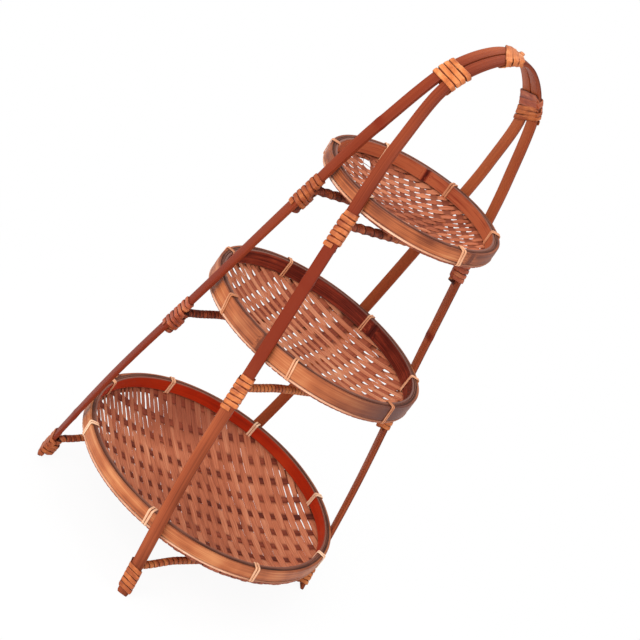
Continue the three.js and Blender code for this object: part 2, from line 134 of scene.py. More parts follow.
def add_node(
    tree: bpy.types.NodeTree, kind: str, inputs: dict[Any, Any] | None = None, **settings: Any
) -> bpy.types.Node:
    """Adds one node, with its settings, values and links.

    Args:
        tree: the node tree that gets the node.
        kind: the node's type.
        inputs: for an input's name or number, its value or the socket that feeds it.
        settings: attributes of the node; stops holds a colour ramp's places and hex colours.

    Returns:
        The new node.
    """
    node = tree.nodes.new(kind)
    stops: Sequence[tuple[float, str]] = settings.pop("stops", ())
    for key, value in settings.items():
        setattr(node, key, value)
    for number, (place, code) in enumerate(stops):
        ramp = node.color_ramp.elements
        stop = ramp[number] if number < 2 else ramp.new(place)
        stop.position = place
        stop.color = linear(code)
    for key, value in (inputs or {}).items():
        if isinstance(value, bpy.types.NodeSocket):
            tree.links.new(value, node.inputs[key])
        else:
            node.inputs[key].default_value = value
    return node


def maths(tree: bpy.types.NodeTree, operation: str, *values: Any) -> bpy.types.NodeSocket:
    """Adds a math node.

    Args:
        tree: the node tree.
        operation: what the node works out.
        values: its values, or the sockets that feed them.

    Returns:
        The socket with the result.
    """
    return add_node(
        tree, "ShaderNodeMath", dict(enumerate(values)), operation=operation
    ).outputs[0]


@dataclass(frozen=True)
class Splint:
    """Split bamboo or rattan: long parallel fibres under a stain that took unevenly.

    The fibres run along the grain coordinate's first axis. Real fibres are 0.2 to 0.4 mm
    wide, too fine to show, so each finish draws bundles of them as wide as it needs.

    Attributes:
        name: the material's name.
        dark: colour of the grain's dark lines.
        base: the main colour.
        light: colour of the grain's pale lines.
        worn_and_shaded: colour where the wear layer is 1, at rubbed places and at painted shade.
        fibre_width: width of a drawn bundle of fibres.
        fibre_length: length of a drawn bundle of fibres.
        blotch: size of the stain's patches.
        fibre_share: how strongly the fibres mark the colour.
        streak_share: how strongly the broad streaks mark it.
        blotch_share: how strongly the stain's patches mark it.
        tone_share: how far a strip's own tone lightens or darkens it.
        roughness: roughness of the surface.
        specular: strength of its gloss, where 0.5 is a smooth, unbroken surface's.
        relief: height of the fibres.
    """

    name: str
    dark: str
    base: str
    light: str
    worn_and_shaded: str
    fibre_width: float = 1.0
    fibre_length: float = 40.0
    blotch: float = 30.0
    fibre_share: float = 0.5
    streak_share: float = 0.5
    blotch_share: float = 0.4
    tone_share: float = 0.3
    roughness: float = 0.5
    specular: float = 0.25
    relief: float = 0.15

    def build(self) -> bpy.types.Material:
        """Makes the material.

        Returns:
            The material, with its nodes.
        """
        material = bpy.data.materials.new(self.name)
        material.use_nodes = True
        tree = material.node_tree
        tree.nodes.clear()
        tone, wear = (
            add_node(tree, "ShaderNodeAttribute", attribute_name=layer).outputs["Fac"]
            for layer in (TONE, WEAR_AND_SHADE)
        )
        length, width = self.fibre_length, self.fibre_width
        fibres = self.noise(tree, tone, length, width, FIBRE_LAYERS)
        length, width = STREAK_LENGTH * length, STREAK_WIDTH * width
        streaks = self.noise(tree, tone, length, width, STREAK_LAYERS)
        solid = add_node(tree, "ShaderNodeTexCoord").outputs["Object"]
        inputs = {"Vector": solid, "Scale": 1000 / self.blotch, "Detail": 2.0}
        patches = add_node(tree, "ShaderNodeTexNoise", inputs).outputs["Fac"]
        level: Any = 0.5
        for mark, share in (
            (fibres, self.fibre_share),
            (streaks, self.streak_share),
            (patches, self.blotch_share),
            (tone, self.tone_share),
        ):
            centred = maths(tree, "SUBTRACT", mark, 0.5)
            level = maths(tree, "MULTIPLY_ADD", centred, share, level)
        stops = ((0.22, self.dark), (0.8, self.light), (0.5, self.base))
        stain_and_shade = add_node(tree, "ShaderNodeValToRGB", {"Fac": level}, stops=stops)
        # The worn colour stands for rubbed places and for painted shade alike.
        inputs = {0: wear, 6: stain_and_shade.outputs[0], 7: linear(self.worn_and_shaded)}
        colour = add_node(tree, "ShaderNodeMix", inputs, data_type="RGBA")
        smooth, dull = self.roughness - 0.08, self.roughness + 0.1
        gloss = add_node(
            tree, "ShaderNodeMapRange", {"Value": fibres, "To Min": smooth, "To Max": dull}
        )
        inputs = {"Height": fibres, "Distance": self.relief * MM, "Strength": 0.8}
        bump = add_node(tree, "ShaderNodeBump", inputs)
        inputs = {
            "Base Color": colour.outputs[2],
            "Roughness": gloss.outputs[0],
            "Normal": bump.outputs[0],
            "IOR": 1.46,
            "Specular IOR Level": self.specular,
        }
        shader = add_node(tree, "ShaderNodeBsdfPrincipled", inputs)
        add_node(tree, "ShaderNodeOutputMaterial", {"Surface": shader.outputs[0]})
        return material

    def noise(
        self,
        tree: bpy.types.NodeTree,
        tone: bpy.types.NodeSocket,
        length: float,
        width: float,
        spread: float,
    ) -> bpy.types.NodeSocket:
        """Adds a noise drawn out along the grain, different on each strip.

        Args:
            tree: the node tree.
            tone: the socket with each strip's tone.
            length: length of a mark along the grain.
            width: width of a mark across the grain.
            spread: how far apart in the noise two tones lie.

        Returns:
            The noise's socket.
        """
        grain = add_node(tree, "ShaderNodeUVMap", uv_map=GRAIN)
        place = add_node(tree, "ShaderNodeSeparateXYZ", {0: grain.outputs[0]})
        factors = (place.outputs[0], 1 / length), (place.outputs[1], 1 / width), (tone, spread)
        inputs = {k: maths(tree, "MULTIPLY", *pair) for k, pair in enumerate(factors)}
        vector = add_node(tree, "ShaderNodeCombineXYZ", inputs).outputs[0]
        inputs = {"Vector": vector, "Scale": 1.0, "Detail": 3.0, "Roughness": 0.6}
        return add_node(tree, "ShaderNodeTexNoise", inputs).outputs["Fac"]


# Culm strips, split, heat-bent, stained red-brown and oiled: satin, with faint long fibres.
STAINED_BAMBOO = Splint(
    "Bamboo culm strip, bent and stained",
    dark="5e2814", base="96482a", light="b4623a", worn_and_shaded="762610",
    fibre_width=1.1, fibre_length=70, blotch=80, fibre_share=0.3, streak_share=0.45,
    blotch_share=0.5, tone_share=0.7, roughness=0.46, specular=0.13,
)
# Round rattan wound with flat cane and dyed: matt, with a ridge at each turn.
WRAPPED_RATTAN = Splint(
    "Rattan cane wrapping, dyed brown",
    dark="4e1c10", base="94452a", light="bc6e3e", worn_and_shaded="3c150b",
    fibre_width=0.9, fibre_length=10, blotch=11, fibre_share=0.6, streak_share=0.6,
    blotch_share=1.0, tone_share=1.0, roughness=0.55,
)
# Flat rattan peel, bound wet and pulled tight: golden with a waxy sheen.
GOLDEN_CANE = Splint(
    "Rattan peel lashing, golden",
    dark="96451f", base="c87038", light="e69c62", worn_and_shaded="5a2410",
    fibre_width=1.0, fibre_length=20, blotch=10, fibre_share=0.4, streak_share=0.4,
    blotch_share=0.8, tone_share=0.8, roughness=0.45, specular=0.35,
)
# The same peel where the stain has gone red-brown: the handle's right, where hands rub it,
# and two of the legs' lashings.
RUBBED_CANE = Splint(
    "Rattan peel lashing, rubbed dark",
    dark="74280f", base="a44a28", light="c87848", worn_and_shaded="431a0c",
    fibre_width=1.0, fibre_length=24, blotch=12, fibre_share=0.4, streak_share=0.5,
    blotch_share=0.8, roughness=0.42, specular=0.4,
)
# Planed bamboo bent to a ring, lightly stained: long dark and honey-coloured fibre lines.
GOLDEN_BAND = Splint(
    "Bamboo rim band, planed and lightly stained",
    dark="70341a", base="b06036", light="d08a58", worn_and_shaded="552c24",
    fibre_width=1.1, fibre_length=60, blotch=34, fibre_share=0.7, streak_share=0.6,
    blotch_share=0.8, tone_share=1.0, roughness=0.5, specular=0.3,
)
# The same band stained deep red on the lower tray's inner ring: its fibres show faintly.
RED_BAND = Splint(
    "Bamboo rim band, stained red",
    dark="701406", base="b02a0a", light="c8441a", worn_and_shaded="7c5040",
    fibre_width=1.3, fibre_length=70, blotch=60, fibre_share=0.3, streak_share=0.4,
    blotch_share=0.5, roughness=0.4, specular=0.25,
)
# The two upper inner rings took less stain: red-brown, with strong dark fibre lines.
GRAINED_BAND = Splint(
    "Bamboo rim band, stained red-brown",
    dark="52140a", base="8c3420", light="b8623e", worn_and_shaded="7c5448",
    fibre_width=1.0, fibre_length=45, blotch=30, fibre_share=1.0, streak_share=0.8,
    blotch_share=0.6, tone_share=1.0, roughness=0.48,
)
# Thin shaved splints, woven flat and stained together: pink-brown, with painted shade in the dips.
WOVEN_FINE = Splint(
    "Bamboo weaving splint, narrow",
    dark="7e3c26", base="bc6a48", light="e6a078", worn_and_shaded="66291a",
    fibre_width=0.8, fibre_length=50, blotch=40, fibre_share=0.7, streak_share=0.15,
    blotch_share=0.3, tone_share=0.35, roughness=0.6,
)
# The broad splints of the same mat lie beneath, and their darker colour is painted shade.
WOVEN_BROAD = Splint(
    "Bamboo weaving splint, broad",
    dark="541c10", base="863c26", light="aa5a3e", worn_and_shaded="541c10",
    fibre_width=1.4, fibre_length=30, blotch=20, fibre_share=0.6, streak_share=0.5,
    blotch_share=0.6, tone_share=0.8, roughness=0.62,
)
# Round shavings laid on the rim's top, stained grey-brown and rubbed matt.
BROWN_FILLER = Splint(
    "Bamboo filler splint, grey-brown",
    dark="341b12", base="623628", light="8c5c48", worn_and_shaded="4a2a1e",
    fibre_width=0.8, fibre_length=40, blotch=25, roughness=0.6,
)
# Thin round reed, left nearly raw: pale and dry.
PALE_REED = Splint(
    "Round reed, nearly raw",
    dark="ac6a48", base="dea280", light="f0cab0", worn_and_shaded="90523a",
    fibre_width=0.8, fibre_length=25, blotch=24, blotch_share=0.8, roughness=0.55,
)
# Thin rattan peel knotted round the rim, left raw: the palest cane of the stand.
PALE_CANE = Splint(
    "Rattan peel rim tie, raw",
    dark="b87048", base="dea078", light="f0c8a6", worn_and_shaded="7a3c22",
    fibre_width=0.8, fibre_length=20, blotch=12, tone_share=0.8, roughness=0.5, specular=0.35,
)

# Shapes


def unit(vectors: np.ndarray) -> np.ndarray:
    """Scales vectors to length 1.

    Args:
        vectors: any array whose last axis holds the vectors.

    Returns:
        The unit vectors.
    """
    return vectors / np.linalg.norm(vectors, axis=-1, keepdims=True)


def smoothstep(value: np.ndarray | float, low: float, high: float) -> np.ndarray:
    """Rises smoothly from 0 at low to 1 at high.

    Args:
        value: where to look.
        low: where the rise starts.
        high: where it ends.

    Returns:
        The height of the step.
    """
    share = np.clip((np.asarray(value, float) - low) / (high - low), 0, 1)
    return share * share * (3 - 2 * share)


def arc_lengths(points: np.ndarray) -> np.ndarray:
    """Distances along a line of points, from its first point.

    Args:
        points: the points.

    Returns:
        The distance of each.
    """
    steps = np.linalg.norm(np.diff(points, axis=0), axis=1)
    return np.concatenate([[0], np.cumsum(steps)])


def carry(
    flat: np.ndarray, first: np.ndarray, second: np.ndarray, origin: np.ndarray | float = 0.0
) -> np.ndarray:
    """Carries places in a plane into space.

    Args:
        flat: any array whose last axis holds the places.
        first: the plane's first axis in space.
        second: its second axis.
        origin: where its origin goes.

    Returns:
        The carried points.
    """
    return origin + flat[..., :1] * first + flat[..., 1:] * second


def spokes(angle: np.ndarray) -> np.ndarray:
    """Level unit vectors at the given angles.

    Args:
        angle: the angles in radians.

    Returns:
        The vectors.
    """
    return np.stack([np.cos(angle), np.sin(angle), 0 * angle], axis=1)


def rectangle(half: float, low: float, high: float) -> np.ndarray:
    """Corners of an upright rectangle.

    Args:
        half: half its width.
        low: height of its lower side.
        high: height of its upper side.

    Returns:
        The corners, anticlockwise.
    """
    return np.array([[half, low], [half, high], [-half, high], [-half, low]])


def strip_section(width: float, thickness: float, crown: float, corner: float) -> np.ndarray:
    """A flat strip's cross-section, with rounded corners and a crowned upper face.

    Args:
        width: width of the strip.
        thickness: thickness at its edges.
        crown: how far the middle of the upper face stands above its edges.
        corner: size of the rounded corners.

    Returns:
        Points of the section, anticlockwise.
    """
    x, y, cut = width / 2, thickness / 2, corner * 0.3
    right = [[x, -y + corner], [x, y - corner], [x - cut, y - cut], [x - corner, y]]
    right.append([x / 2, y + 0.75 * crown])
    below = [[x - corner, -y], [x - cut, -y + cut]]
    left = [[-across, up] for side in (right, below) for across, up in reversed(side)]
    return np.array([*right, [0, y + crown], *left, *below])


def cane_section(width: float, thickness: float) -> np.ndarray:
    """A peeled cane's cross-section: flat below and rounded above, standing on y = 0.

    Args:
        width: width of the cane.
        thickness: thickness in its middle.

    Returns:
        Points of the section, anticlockwise.
    """
    x = width / 2
    shares = [[1, 0], [1, 0.5], [0.8, 0.85], [0.4, 1], [-0.4, 1], [-0.8, 0.85], [-1, 0.5], [-1, 0]]
    return np.array([[x * across, thickness * up] for across, up in shares])


def shaded_cane(width: float, thickness: float) -> tuple[np.ndarray, np.ndarray]:
    """A wound cane's cross-section, and its painted shade: dark where it meets the next turn.

    Args:
        width: width of the cane.
        thickness: its thickness.

    Returns:
        Points of the section, and the painted shade at each.
    """
    section = cane_section(width, thickness)
    # Painted shade: the lower sides darken where the cane meets the next turn.
    return section, np.where(section[:, 1] < 0.6 * thickness, 0.8, 0.0)


def round_section(radius: float, sides: int) -> np.ndarray:
    """A round rod's cross-section.

    Args:
        radius: radius of the rod.
        sides: number of its sides.

    Returns:
        Points of the section, anticlockwise.
    """
    angles = 2 * np.pi * np.arange(sides) / sides
    return radius * np.stack([np.cos(angles), np.sin(angles)], axis=1)


class Shape:
    """Swept bodies gathered into one mesh, with grain coordinates in millimetres."""

    def __init__(self) -> None:
        """Starts with no bodies."""
        self.points: list[np.ndarray] = []
        self.tones: list[np.ndarray] = []
        self.wear: list[np.ndarray] = []
        self.faces: list[list[int]] = []
        self.grain: list[np.ndarray] = []
        self.size = 0

    def loft(
        self,
        rings: np.ndarray,
        tone: np.ndarray | float,
        wear: np.ndarray | float = 0.0,
        closed: bool = False,
    ) -> None:
        """Adds a body through rings of points.

        Args:
            rings: an array of rings, each with the same number of points.
            tone: the strip's own tone, from 0 to 1, or one for each point of a ring.
            wear: rubbing and painted shade at each point, or one value for all.
            closed: whether the last ring joins the first; otherwise both ends are capped.
        """
        count, sides = rings.shape[:2]
        index = self.size + np.arange(count * sides).reshape(count, sides)
        looped = np.concatenate([rings, rings[:, :1]], axis=1)
        girth = np.linalg.norm(np.diff(looped, axis=1), axis=2).mean(axis=0)
        across = np.concatenate([[0], np.cumsum(girth)])
        middles = rings.mean(axis=1)
        if closed:
            index = np.concatenate([index, index[:1]])
            middles = np.concatenate([middles, middles[:1]])
        along = arc_lengths(middles)
        turned = np.roll(index, -1, axis=1)
        quads = np.stack([index[:-1], turned[:-1], turned[1:], index[1:]], axis=-1)
        near, far, first, second = along[:-1, None], along[1:, None], across[:-1], across[1:]
        places = (near, first), (near, second), (far, second), (far, first)
        corners = np.stack([np.stack(np.broadcast_arrays(*at), -1) for at in places], axis=2)
        self.faces += quads.reshape(-1, 4).tolist()
        self.grain.append(corners.reshape(-1, 2))
        if not closed:
            for end in (index[0, ::-1], index[-1]):
                self.faces.append(end.tolist())
                self.grain.append(np.stack([np.zeros(sides), across[:-1]], axis=1))
        self.points.append(rings.reshape(-1, 3))
        self.tones.append(np.broadcast_to(tone, (count, sides)).reshape(-1))
        self.wear.append(np.broadcast_to(wear, (count, sides)).reshape(-1))
        self.size += count * sides

    def ribbon(
        self,
        path: np.ndarray,
        up: np.ndarray,
        section: np.ndarray,
        tone: float,
        wear: np.ndarray | float = 0.0,
        closed: bool = False,
        place: "Place | None" = None,
    ) -> None:
        """Sweeps a section along a path.

        Args:
            path: points of the path.
            up: at each point, the way that the section's second axis faces.
            section: the section's points, or one section for each point of the path.
            tone: the strip's own tone.
            wear: rubbing and painted shade at each point, or one value for all.
            closed: whether the path is a ring.
            place: where the body goes, if the path is in a tray's own frame.
        """
        if closed:
            forward = np.roll(path, -1, axis=0) - np.roll(path, 1, axis=0)
        else:
            forward = np.gradient(path, axis=0)
        forward = unit(forward)
        side = unit(np.cross(up, forward))
        lift = np.cross(forward, side)
        shape = np.broadcast_to(section, (len(path), *section.shape[-2:]))
        rings = carry(shape, side[:, None], lift[:, None], path[:, None])
        self.loft(place.apply(rings) if place else rings, tone, wear, closed)

    def finish(
        self,
        name: str,
        slot: Slot,
        material: bpy.types.Material,
        replaced: Sequence[str],
    ) -> None:
        """Makes the object, dresses it and ties it to the frame.

        Args:
            name: the piece's name.
            slot: the record's material slot; not used.
            material: the finish.
            replaced: CAD nodes that the piece stands for.
        """
        mesh = bpy.data.meshes.new(name)
        mesh.from_pydata((np.concatenate(self.points) * MM).tolist(), [], self.faces)
        layer = mesh.uv_layers.new(name=GRAIN)
        layer.data.foreach_set("uv", np.concatenate(self.grain).astype(np.float32).ravel())
        for title, values in ((TONE, self.tones), (WEAR_AND_SHADE, self.wear)):
            attribute = mesh.attributes.new(title, "FLOAT", "POINT")
            attribute.data.foreach_set("value", np.concatenate(values).astype(np.float32))
        body = bmesh.new()
        body.from_mesh(mesh)
        bmesh.ops.recalc_face_normals(body, faces=body.faces)
        body.to_mesh(mesh)
        body.free()
        mesh.polygons.foreach_set("use_smooth", [True] * len(mesh.polygons))
        mesh.set_sharp_from_angle(angle=math.radians(CREASE))
        mesh.materials.append(material)
        piece = bpy.data.objects.new(name, mesh)
        bpy.context.scene.collection.objects.link(piece)
        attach(piece, "root")
        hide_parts(*replaced)
        log.info("%s: %d faces, finish %s", name, len(mesh.polygons), material.name)


@dataclass
class Place:
    """Where a tray stands: its own frame has the rim's top in the plane z = 0.

    Attributes:
        shift: where the middle of the rim goes.
        squeeze: scale in X and Y, as the legs press the tray oval.
        tilt: how far the +X side is raised, in radians.
    """

    shift: np.ndarray
    squeeze: np.ndarray
    tilt: float

    def apply(self, points: np.ndarray) -> np.ndarray:
        """Carries points from the tray's frame to the stand's.

        Args:
            points: any array whose last axis holds the points.

        Returns:
            The carried points.
        """
        x, y, z = np.moveaxis(points * self.squeeze, -1, 0)
        cos, sin = math.cos(self.tilt), math.sin(self.tilt)
        return np.stack([x * cos - z * sin, y, x * sin + z * cos], axis=-1) + self.shift


# The hoops


@dataclass
class Hoops:
    """The two bent strips, as curves: legs below, and the handle where they meet above.

    Attributes:
        stations: half spreads and heights of the shared outline.
        top: height of the handle's top.
        width: width of a strip.
        thickness: thickness of a strip.
        foot_depth: distance between the feet in Y.
        fork: height where the strips part.
        fork_ease: how softly they part.
        gap: distance between the strips in the handle.
        bow: how far the legs bow in.
        lean: how far the handle leans to +X.
        back_bulge: how much further the back hoop bulges.
        shoulder: height at which that bulge ends.
        turned_from: height above which the strips turn to lie side by side.
        held: distance in X from the handle's middle within which their turn is held.
        corner: size of a strip's rounded corners.
        crown: how far the middle of its outer face stands out.
        foot_taper: share of its section that is left at the foot.
        step: distance between the rings of its mesh.
        knuckle: half length of a culm joint's swelling.
        fade: half length over which a painted darker span fades out.
    """

    stations: tuple[tuple[float, float], ...] = (
        (124.3, 0),
        (121.2, 126),
        (107.9, 252),
        (94.6, 378),
        (83, 470),
        (59.5, 539.4),
    )
    top: float = 575
    width: float = 11.5
    thickness: float = 3.6
    foot_depth: float = 182.4
    fork: float = 521.5
    fork_ease: float = 14
    gap: float = 1.1
    bow: float = 2
    lean: float = 2
    back_bulge: float = 2
    shoulder: float = 470
    turned_from: float = 378
    held: float = 0.3
    corner: float = 0.8
    crown: float = 0.25
    foot_taper: float = 0.86
    step: float = 2.5
    knuckle: float = 3.2
    fade: float = 40

    def __post_init__(self) -> None:
        """Tabulates the outline by height and by length."""
        self.table = np.linspace(0, 1, 4001)
        line = self.outline(self.table)
        self.lengths = arc_lengths(line)
        self.heights = line[:, 1]

    def outline(self, share: np.ndarray) -> np.ndarray:
        """Points of the centripetal curve through the stations, in X and Z.

        Args:
            share: places on the curve, from 0 at the left foot to 1 at the right one.

        Returns:
            The points.
        """
        left = [[-x, z] for x, z in self.stations]
        right = [[x, z] for x, z in reversed(self.stations)]
        knots = np.array([*left, [0, self.top - self.thickness / 2], *right])
        ends = (2 * knots[0] - knots[1], 2 * knots[-1] - knots[-2])
        padded = np.vstack([ends[0], knots, ends[1]])
        spans = len(knots) - 1
        scaled = np.clip(share, 0, 1) * spans
        span = np.minimum(scaled.astype(int), spans - 1)
        t = (scaled - span)[:, None]
        before, start, end, after = (padded[span + k] for k in range(4))
        reach = [
            np.sqrt(np.linalg.norm(far - near, axis=1, keepdims=True))
            for near, far in ((before, start), (start, end), (end, after))
        ]
        slope_in = (start - before) / reach[0] - (end - before) / (reach[0] + reach[1])
        slope_in = (slope_in + (end - start) / reach[1]) * reach[1]
        slope_out = (end - start) / reach[1] - (after - start) / (reach[1] + reach[2])
        slope_out = (slope_out + (after - end) / reach[2]) * reach[1]
        square = 3 * (end - start) - 2 * slope_in - slope_out
        cube = 2 * (start - end) + slope_in + slope_out
        return start + slope_in * t + square * t**2 + cube * t**3

    def half_depth(self, height: np.ndarray) -> np.ndarray:
        """Half the distance between the strips' centrelines.

        Args:
            height: heights over the floor.

        Returns:
            The distance at each.
        """
        drop = self.fork - height
        splay = (self.foot_depth - self.width - self.gap) / 2 / self.fork
        bow = self.bow * np.sin(np.pi * np.clip(height / self.fork, 0, 1))
        spread = splay / 2 * (drop + np.hypot(drop, self.fork_ease))
        return (self.width + self.gap) / 2 + spread - bow

    def centreline(self, side: int, share: np.ndarray) -> np.ndarray:
        """Points of a strip's centreline.

        Args:
            side: -1 for the front hoop, 1 for the back one, 0 for midway between them.
            share: places on the outline.

        Returns:
            The points.
        """
        flat = self.outline(share)
        x, z = flat[:, 0], flat[:, 1]
        rise = np.clip(z / self.shoulder, 0, 1)
        bulge = self.back_bulge if side > 0 else 0
        x = x + np.sign(x) * bulge * np.sin(np.pi * rise)
        x = x + self.lean * smoothstep(z, self.turned_from, self.top)
        return np.stack([x, side * self.half_depth(z), z], axis=1)

    def frame(self, side: int, share: np.ndarray) -> tuple[np.ndarray, ...]:
        """Frames on a strip.

        Args:
            side: the hoop, as in centreline.
            share: places on the outline.

        Returns:
            Centre points, and unit vectors along the strip, across it and out of its face.
        """
        # The way along is taken over a small step of the outline.
        near = 1e-4
        origin = self.centreline(side, share)
        along = unit(self.centreline(side, share + near) - self.centreline(side, share - near))
        facing = 1 - smoothstep(origin[:, 2], self.turned_from, self.fork)
        turn = -origin[:, 1] * facing * np.sign(origin[:, 0])
        aside = np.maximum(np.abs(origin[:, 0]), self.held)
        across = unit(np.stack([turn, aside, 0 * turn], axis=1))
        across = unit(across - (across * along).sum(axis=1, keepdims=True) * along)
        return origin, along, across, np.cross(along, across)

    def leg_share(self, leg: Leg, height: np.ndarray | float) -> np.ndarray:
        """Places on the outline where a leg reaches the given heights.

        Args:
            leg: the leg.
            height: heights over the floor.

        Returns:
            The places.
        """
        half = len(self.table) // 2 + 1
        share = np.interp(np.atleast_1d(height), self.heights[:half], self.table[:half])
        return share if leg is Leg.left else 1 - share

    def leg_frame(self, side: int, leg: Leg, height: np.ndarray | float) -> tuple[np.ndarray, ...]:
        """Frames on a leg, with along pointing up the leg.

        Args:
            side: the hoop, as in centreline.
            leg: the leg.
            height: heights over the floor.

        Returns:
            What frame gives, at each height.
        """
        origin, along, across, out = self.frame(side, self.leg_share(leg, height))
        if leg is Leg.right:
            along, across = -along, -across
        return origin, along, across, out

    def handle_frame(self, distance: np.ndarray) -> tuple[np.ndarray, ...]:
        """Frames midway between the strips.

        Args:
            distance: distances along the handle from its top, positive to the right.

        Returns:
            What frame gives, at each distance.
        """
        middle = self.lengths[-1] / 2
        share = np.interp(middle + distance, self.lengths, self.table)
        return self.frame(0, share)

    def build(
        self,
        name: str,
        side: int,
        material: bpy.types.Material,
        knuckles: Sequence[float],
        stained: Sequence[tuple[float, float, float]],
    ) -> None:
        """Builds one hoop's strip.

        Args:
            name: the CAD node that it replaces.
            side: the hoop, as in centreline.
            material: the finish.
            knuckles: distances along the strip of the culm's joints.
            stained: distances along it between which it is painted darker, and how much; on the
                back hoop's left leg this is painted shade.
        """
        length = self.lengths[-1]
        travel = np.append(np.arange(0, length, self.step), length)
        share = np.interp(travel, self.lengths, self.table)
        origin, _, across, out = self.frame(side, share)
        # Split by hand: uneven by a tenth of a millimetre, and swollen at the culm's joints.
        wobble = 0.12 * np.sin(travel / 47 + side) + 0.1 * np.sin(travel / 19 + 2 * side)
        swell = np.zeros(len(travel))
        for knuckle in knuckles:
            swell += np.exp(-(((travel - knuckle) / self.knuckle) ** 2))
        base = strip_section(self.width, self.thickness, self.crown, self.corner)
        scale = np.stack([1 + (wobble + 0.35 * swell) / self.width, 1 + 0.16 * swell], axis=1)
        section = base[None] * scale[:, None]
        rings = carry(section, across[:, None], out[:, None], origin[:, None])
        # Each foot is drawn out to the floor, cut level there and pared a little.
        for end in (0, -1):
            step = rings[end] - rings[end + 1 if end == 0 else end - 1]
            rings[end] -= step * (rings[end, :, 2:] / step[:, 2:])
            rings[end] = origin[end] + self.foot_taper * (rings[end] - origin[end])
            rings[end, :, 2] = 0
        rings[..., 2] = np.maximum(rings[..., 2], 0)
        dark = 1.2 * swell
        # Spans painted darker along the strip; on the back hoop's left leg they are painted shade.
        for first, last, depth in stained:
            end = 1 - smoothstep(travel, last - self.fade, last + self.fade)
            start = smoothstep(travel, first - self.fade, first + self.fade)
            dark = dark + depth * start * end
        shape = Shape()
        # The inner face shows the culm's pale pith side, the outer one its stained skin.
        tone = np.where(base[:, 1] < 0, 0.78, 0.42) + 0.06 * side + 0.3 * base[:, 0] / self.width
        shape.loft(rings, tone, np.clip(dark, 0, 1)[:, None])
        shape.finish(name, Slot.HOOP, material, [name])


@dataclass
class Crossbar:
    """A rattan rod wound with flat cane, bent down along the legs at both ends.

    Attributes:
        hoops: the hoops that carry it.
        side: the hoop that it is tied to.
        height: height of its middle.
        pitch: distance between the turns of its wrapping.
        tone: how light its wrapping is, from 0 to 1.
        dip: how much lower it meets the legs than its middle lies.
        diameter: diameter over the wrapping.
        ease: length over which it rises to its middle's height.
        bend: radius of the bends.
        tail: length of the ends along the legs.
        peel: thickness of the wrapping.
        cover: width of the wrapping's cane, as a share of its pitch.
    """

    hoops: Hoops
    side: int
    height: float
    pitch: float
    tone: float
    dip: float
    diameter: float = 7.4
    ease: float = 46
    bend: float = 5.5
    tail: float = 26
    peel: float = 0.8
    cover: float = 0.9

    def joint(self) -> float:
        """Height at which it meets the legs."""
        return self.height - self.dip

    def seat(self) -> float:
        """Distance from a strip's centreline to the rod's."""
        return self.hoops.thickness / 2 + FIT + self.diameter / 2

    def corners(self) -> np.ndarray:
        """The ends and corners of the rod's centreline.

        Returns:
            The left end, the two corners and the right end.
        """
        points = []
        joint, end = self.joint(), self.joint() - self.tail
        places = (Leg.left, end), (Leg.left, joint), (Leg.right, joint), (Leg.right, end)
        for leg, height in places:
            origin, _, _, out = self.hoops.leg_frame(self.side, leg, height)
            points.append(origin[0] - self.seat() * out[0])
        return np.array(points)

    def path(self, step: float) -> np.ndarray:
        """The rod's centreline with rounded corners.

        Args:
            step: distance between two of its points.

        Returns:
            The points.
        """
        corners = self.corners()
        line = [corners[0]]
        for corner in (1, 2):
            before = unit(corners[corner] - corners[corner - 1])
            after = unit(corners[corner + 1] - corners[corner])
            turn = math.acos(float(before @ after))
            start = corners[corner] - before * self.bend * math.tan(turn / 2)
            inward = unit(after - (after @ before) * before)
            for angle in np.linspace(0, turn, 12):
                arc = inward * (1 - math.cos(angle)) + before * math.sin(angle)
                line.append(start + self.bend * arc)
        line.append(corners[3])
        points = np.array(line)
        lengths = arc_lengths(points)
        even = np.arange(0, lengths[-1], step)
        path = np.stack([np.interp(even, lengths, points[:, k]) for k in range(3)], axis=1)
        inward = np.minimum(path[:, 0] - corners[1, 0], corners[2, 0] - path[:, 0])
        path[:, 2] += self.dip * smoothstep(inward, self.bend, self.ease)
        return path

    def build(self, name: str, material: bpy.types.Material, seed: int) -> None:
        """Builds the rod and its wrapping as one piece.

        Args:
            name: the CAD node that it replaces.
            material: the finish.
            seed: start of the wrapping's small unevenness.
        """
        rng = np.random.default_rng(seed)
        step = self.pitch / TURN_POINTS
        path = self.path(step)
        forward = unit(np.gradient(path, axis=0))
        corners = self.corners()
        square = unit(np.cross(corners[1] - corners[0], corners[2] - corners[1]))
        up = np.broadcast_to(square, path.shape)
        core = self.diameter / 2 - self.peel
        shape = Shape()
        # The core shows only as a dark line between the turns, painted at full strength as the
        # shade in those gaps, so it is drawn coarser.
        shape.ribbon(path[::6], up[::6], round_section(core, 12), tone=0.2, wear=1.0)
        # Wound by hand: the pitch wanders a little.
        distance = step * np.arange(len(path))
        drift = np.cumsum(rng.normal(0, 0.02, len(path)))
        angle = 2 * np.pi * distance / self.pitch + 0.4 * np.sin(distance / 19) + drift
        second = np.cross(forward, up)
        spoke = np.cos(angle)[:, None] * up + np.sin(angle)[:, None] * second
        section, wear = shaded_cane(self.cover * self.pitch, self.peel)
        tone = self.tone + rng.uniform(-0.08, 0.08)
        shape.ribbon(path + core * spoke, spoke, section, tone, wear)
        shape.finish(name, Slot.BAR, material, [name])


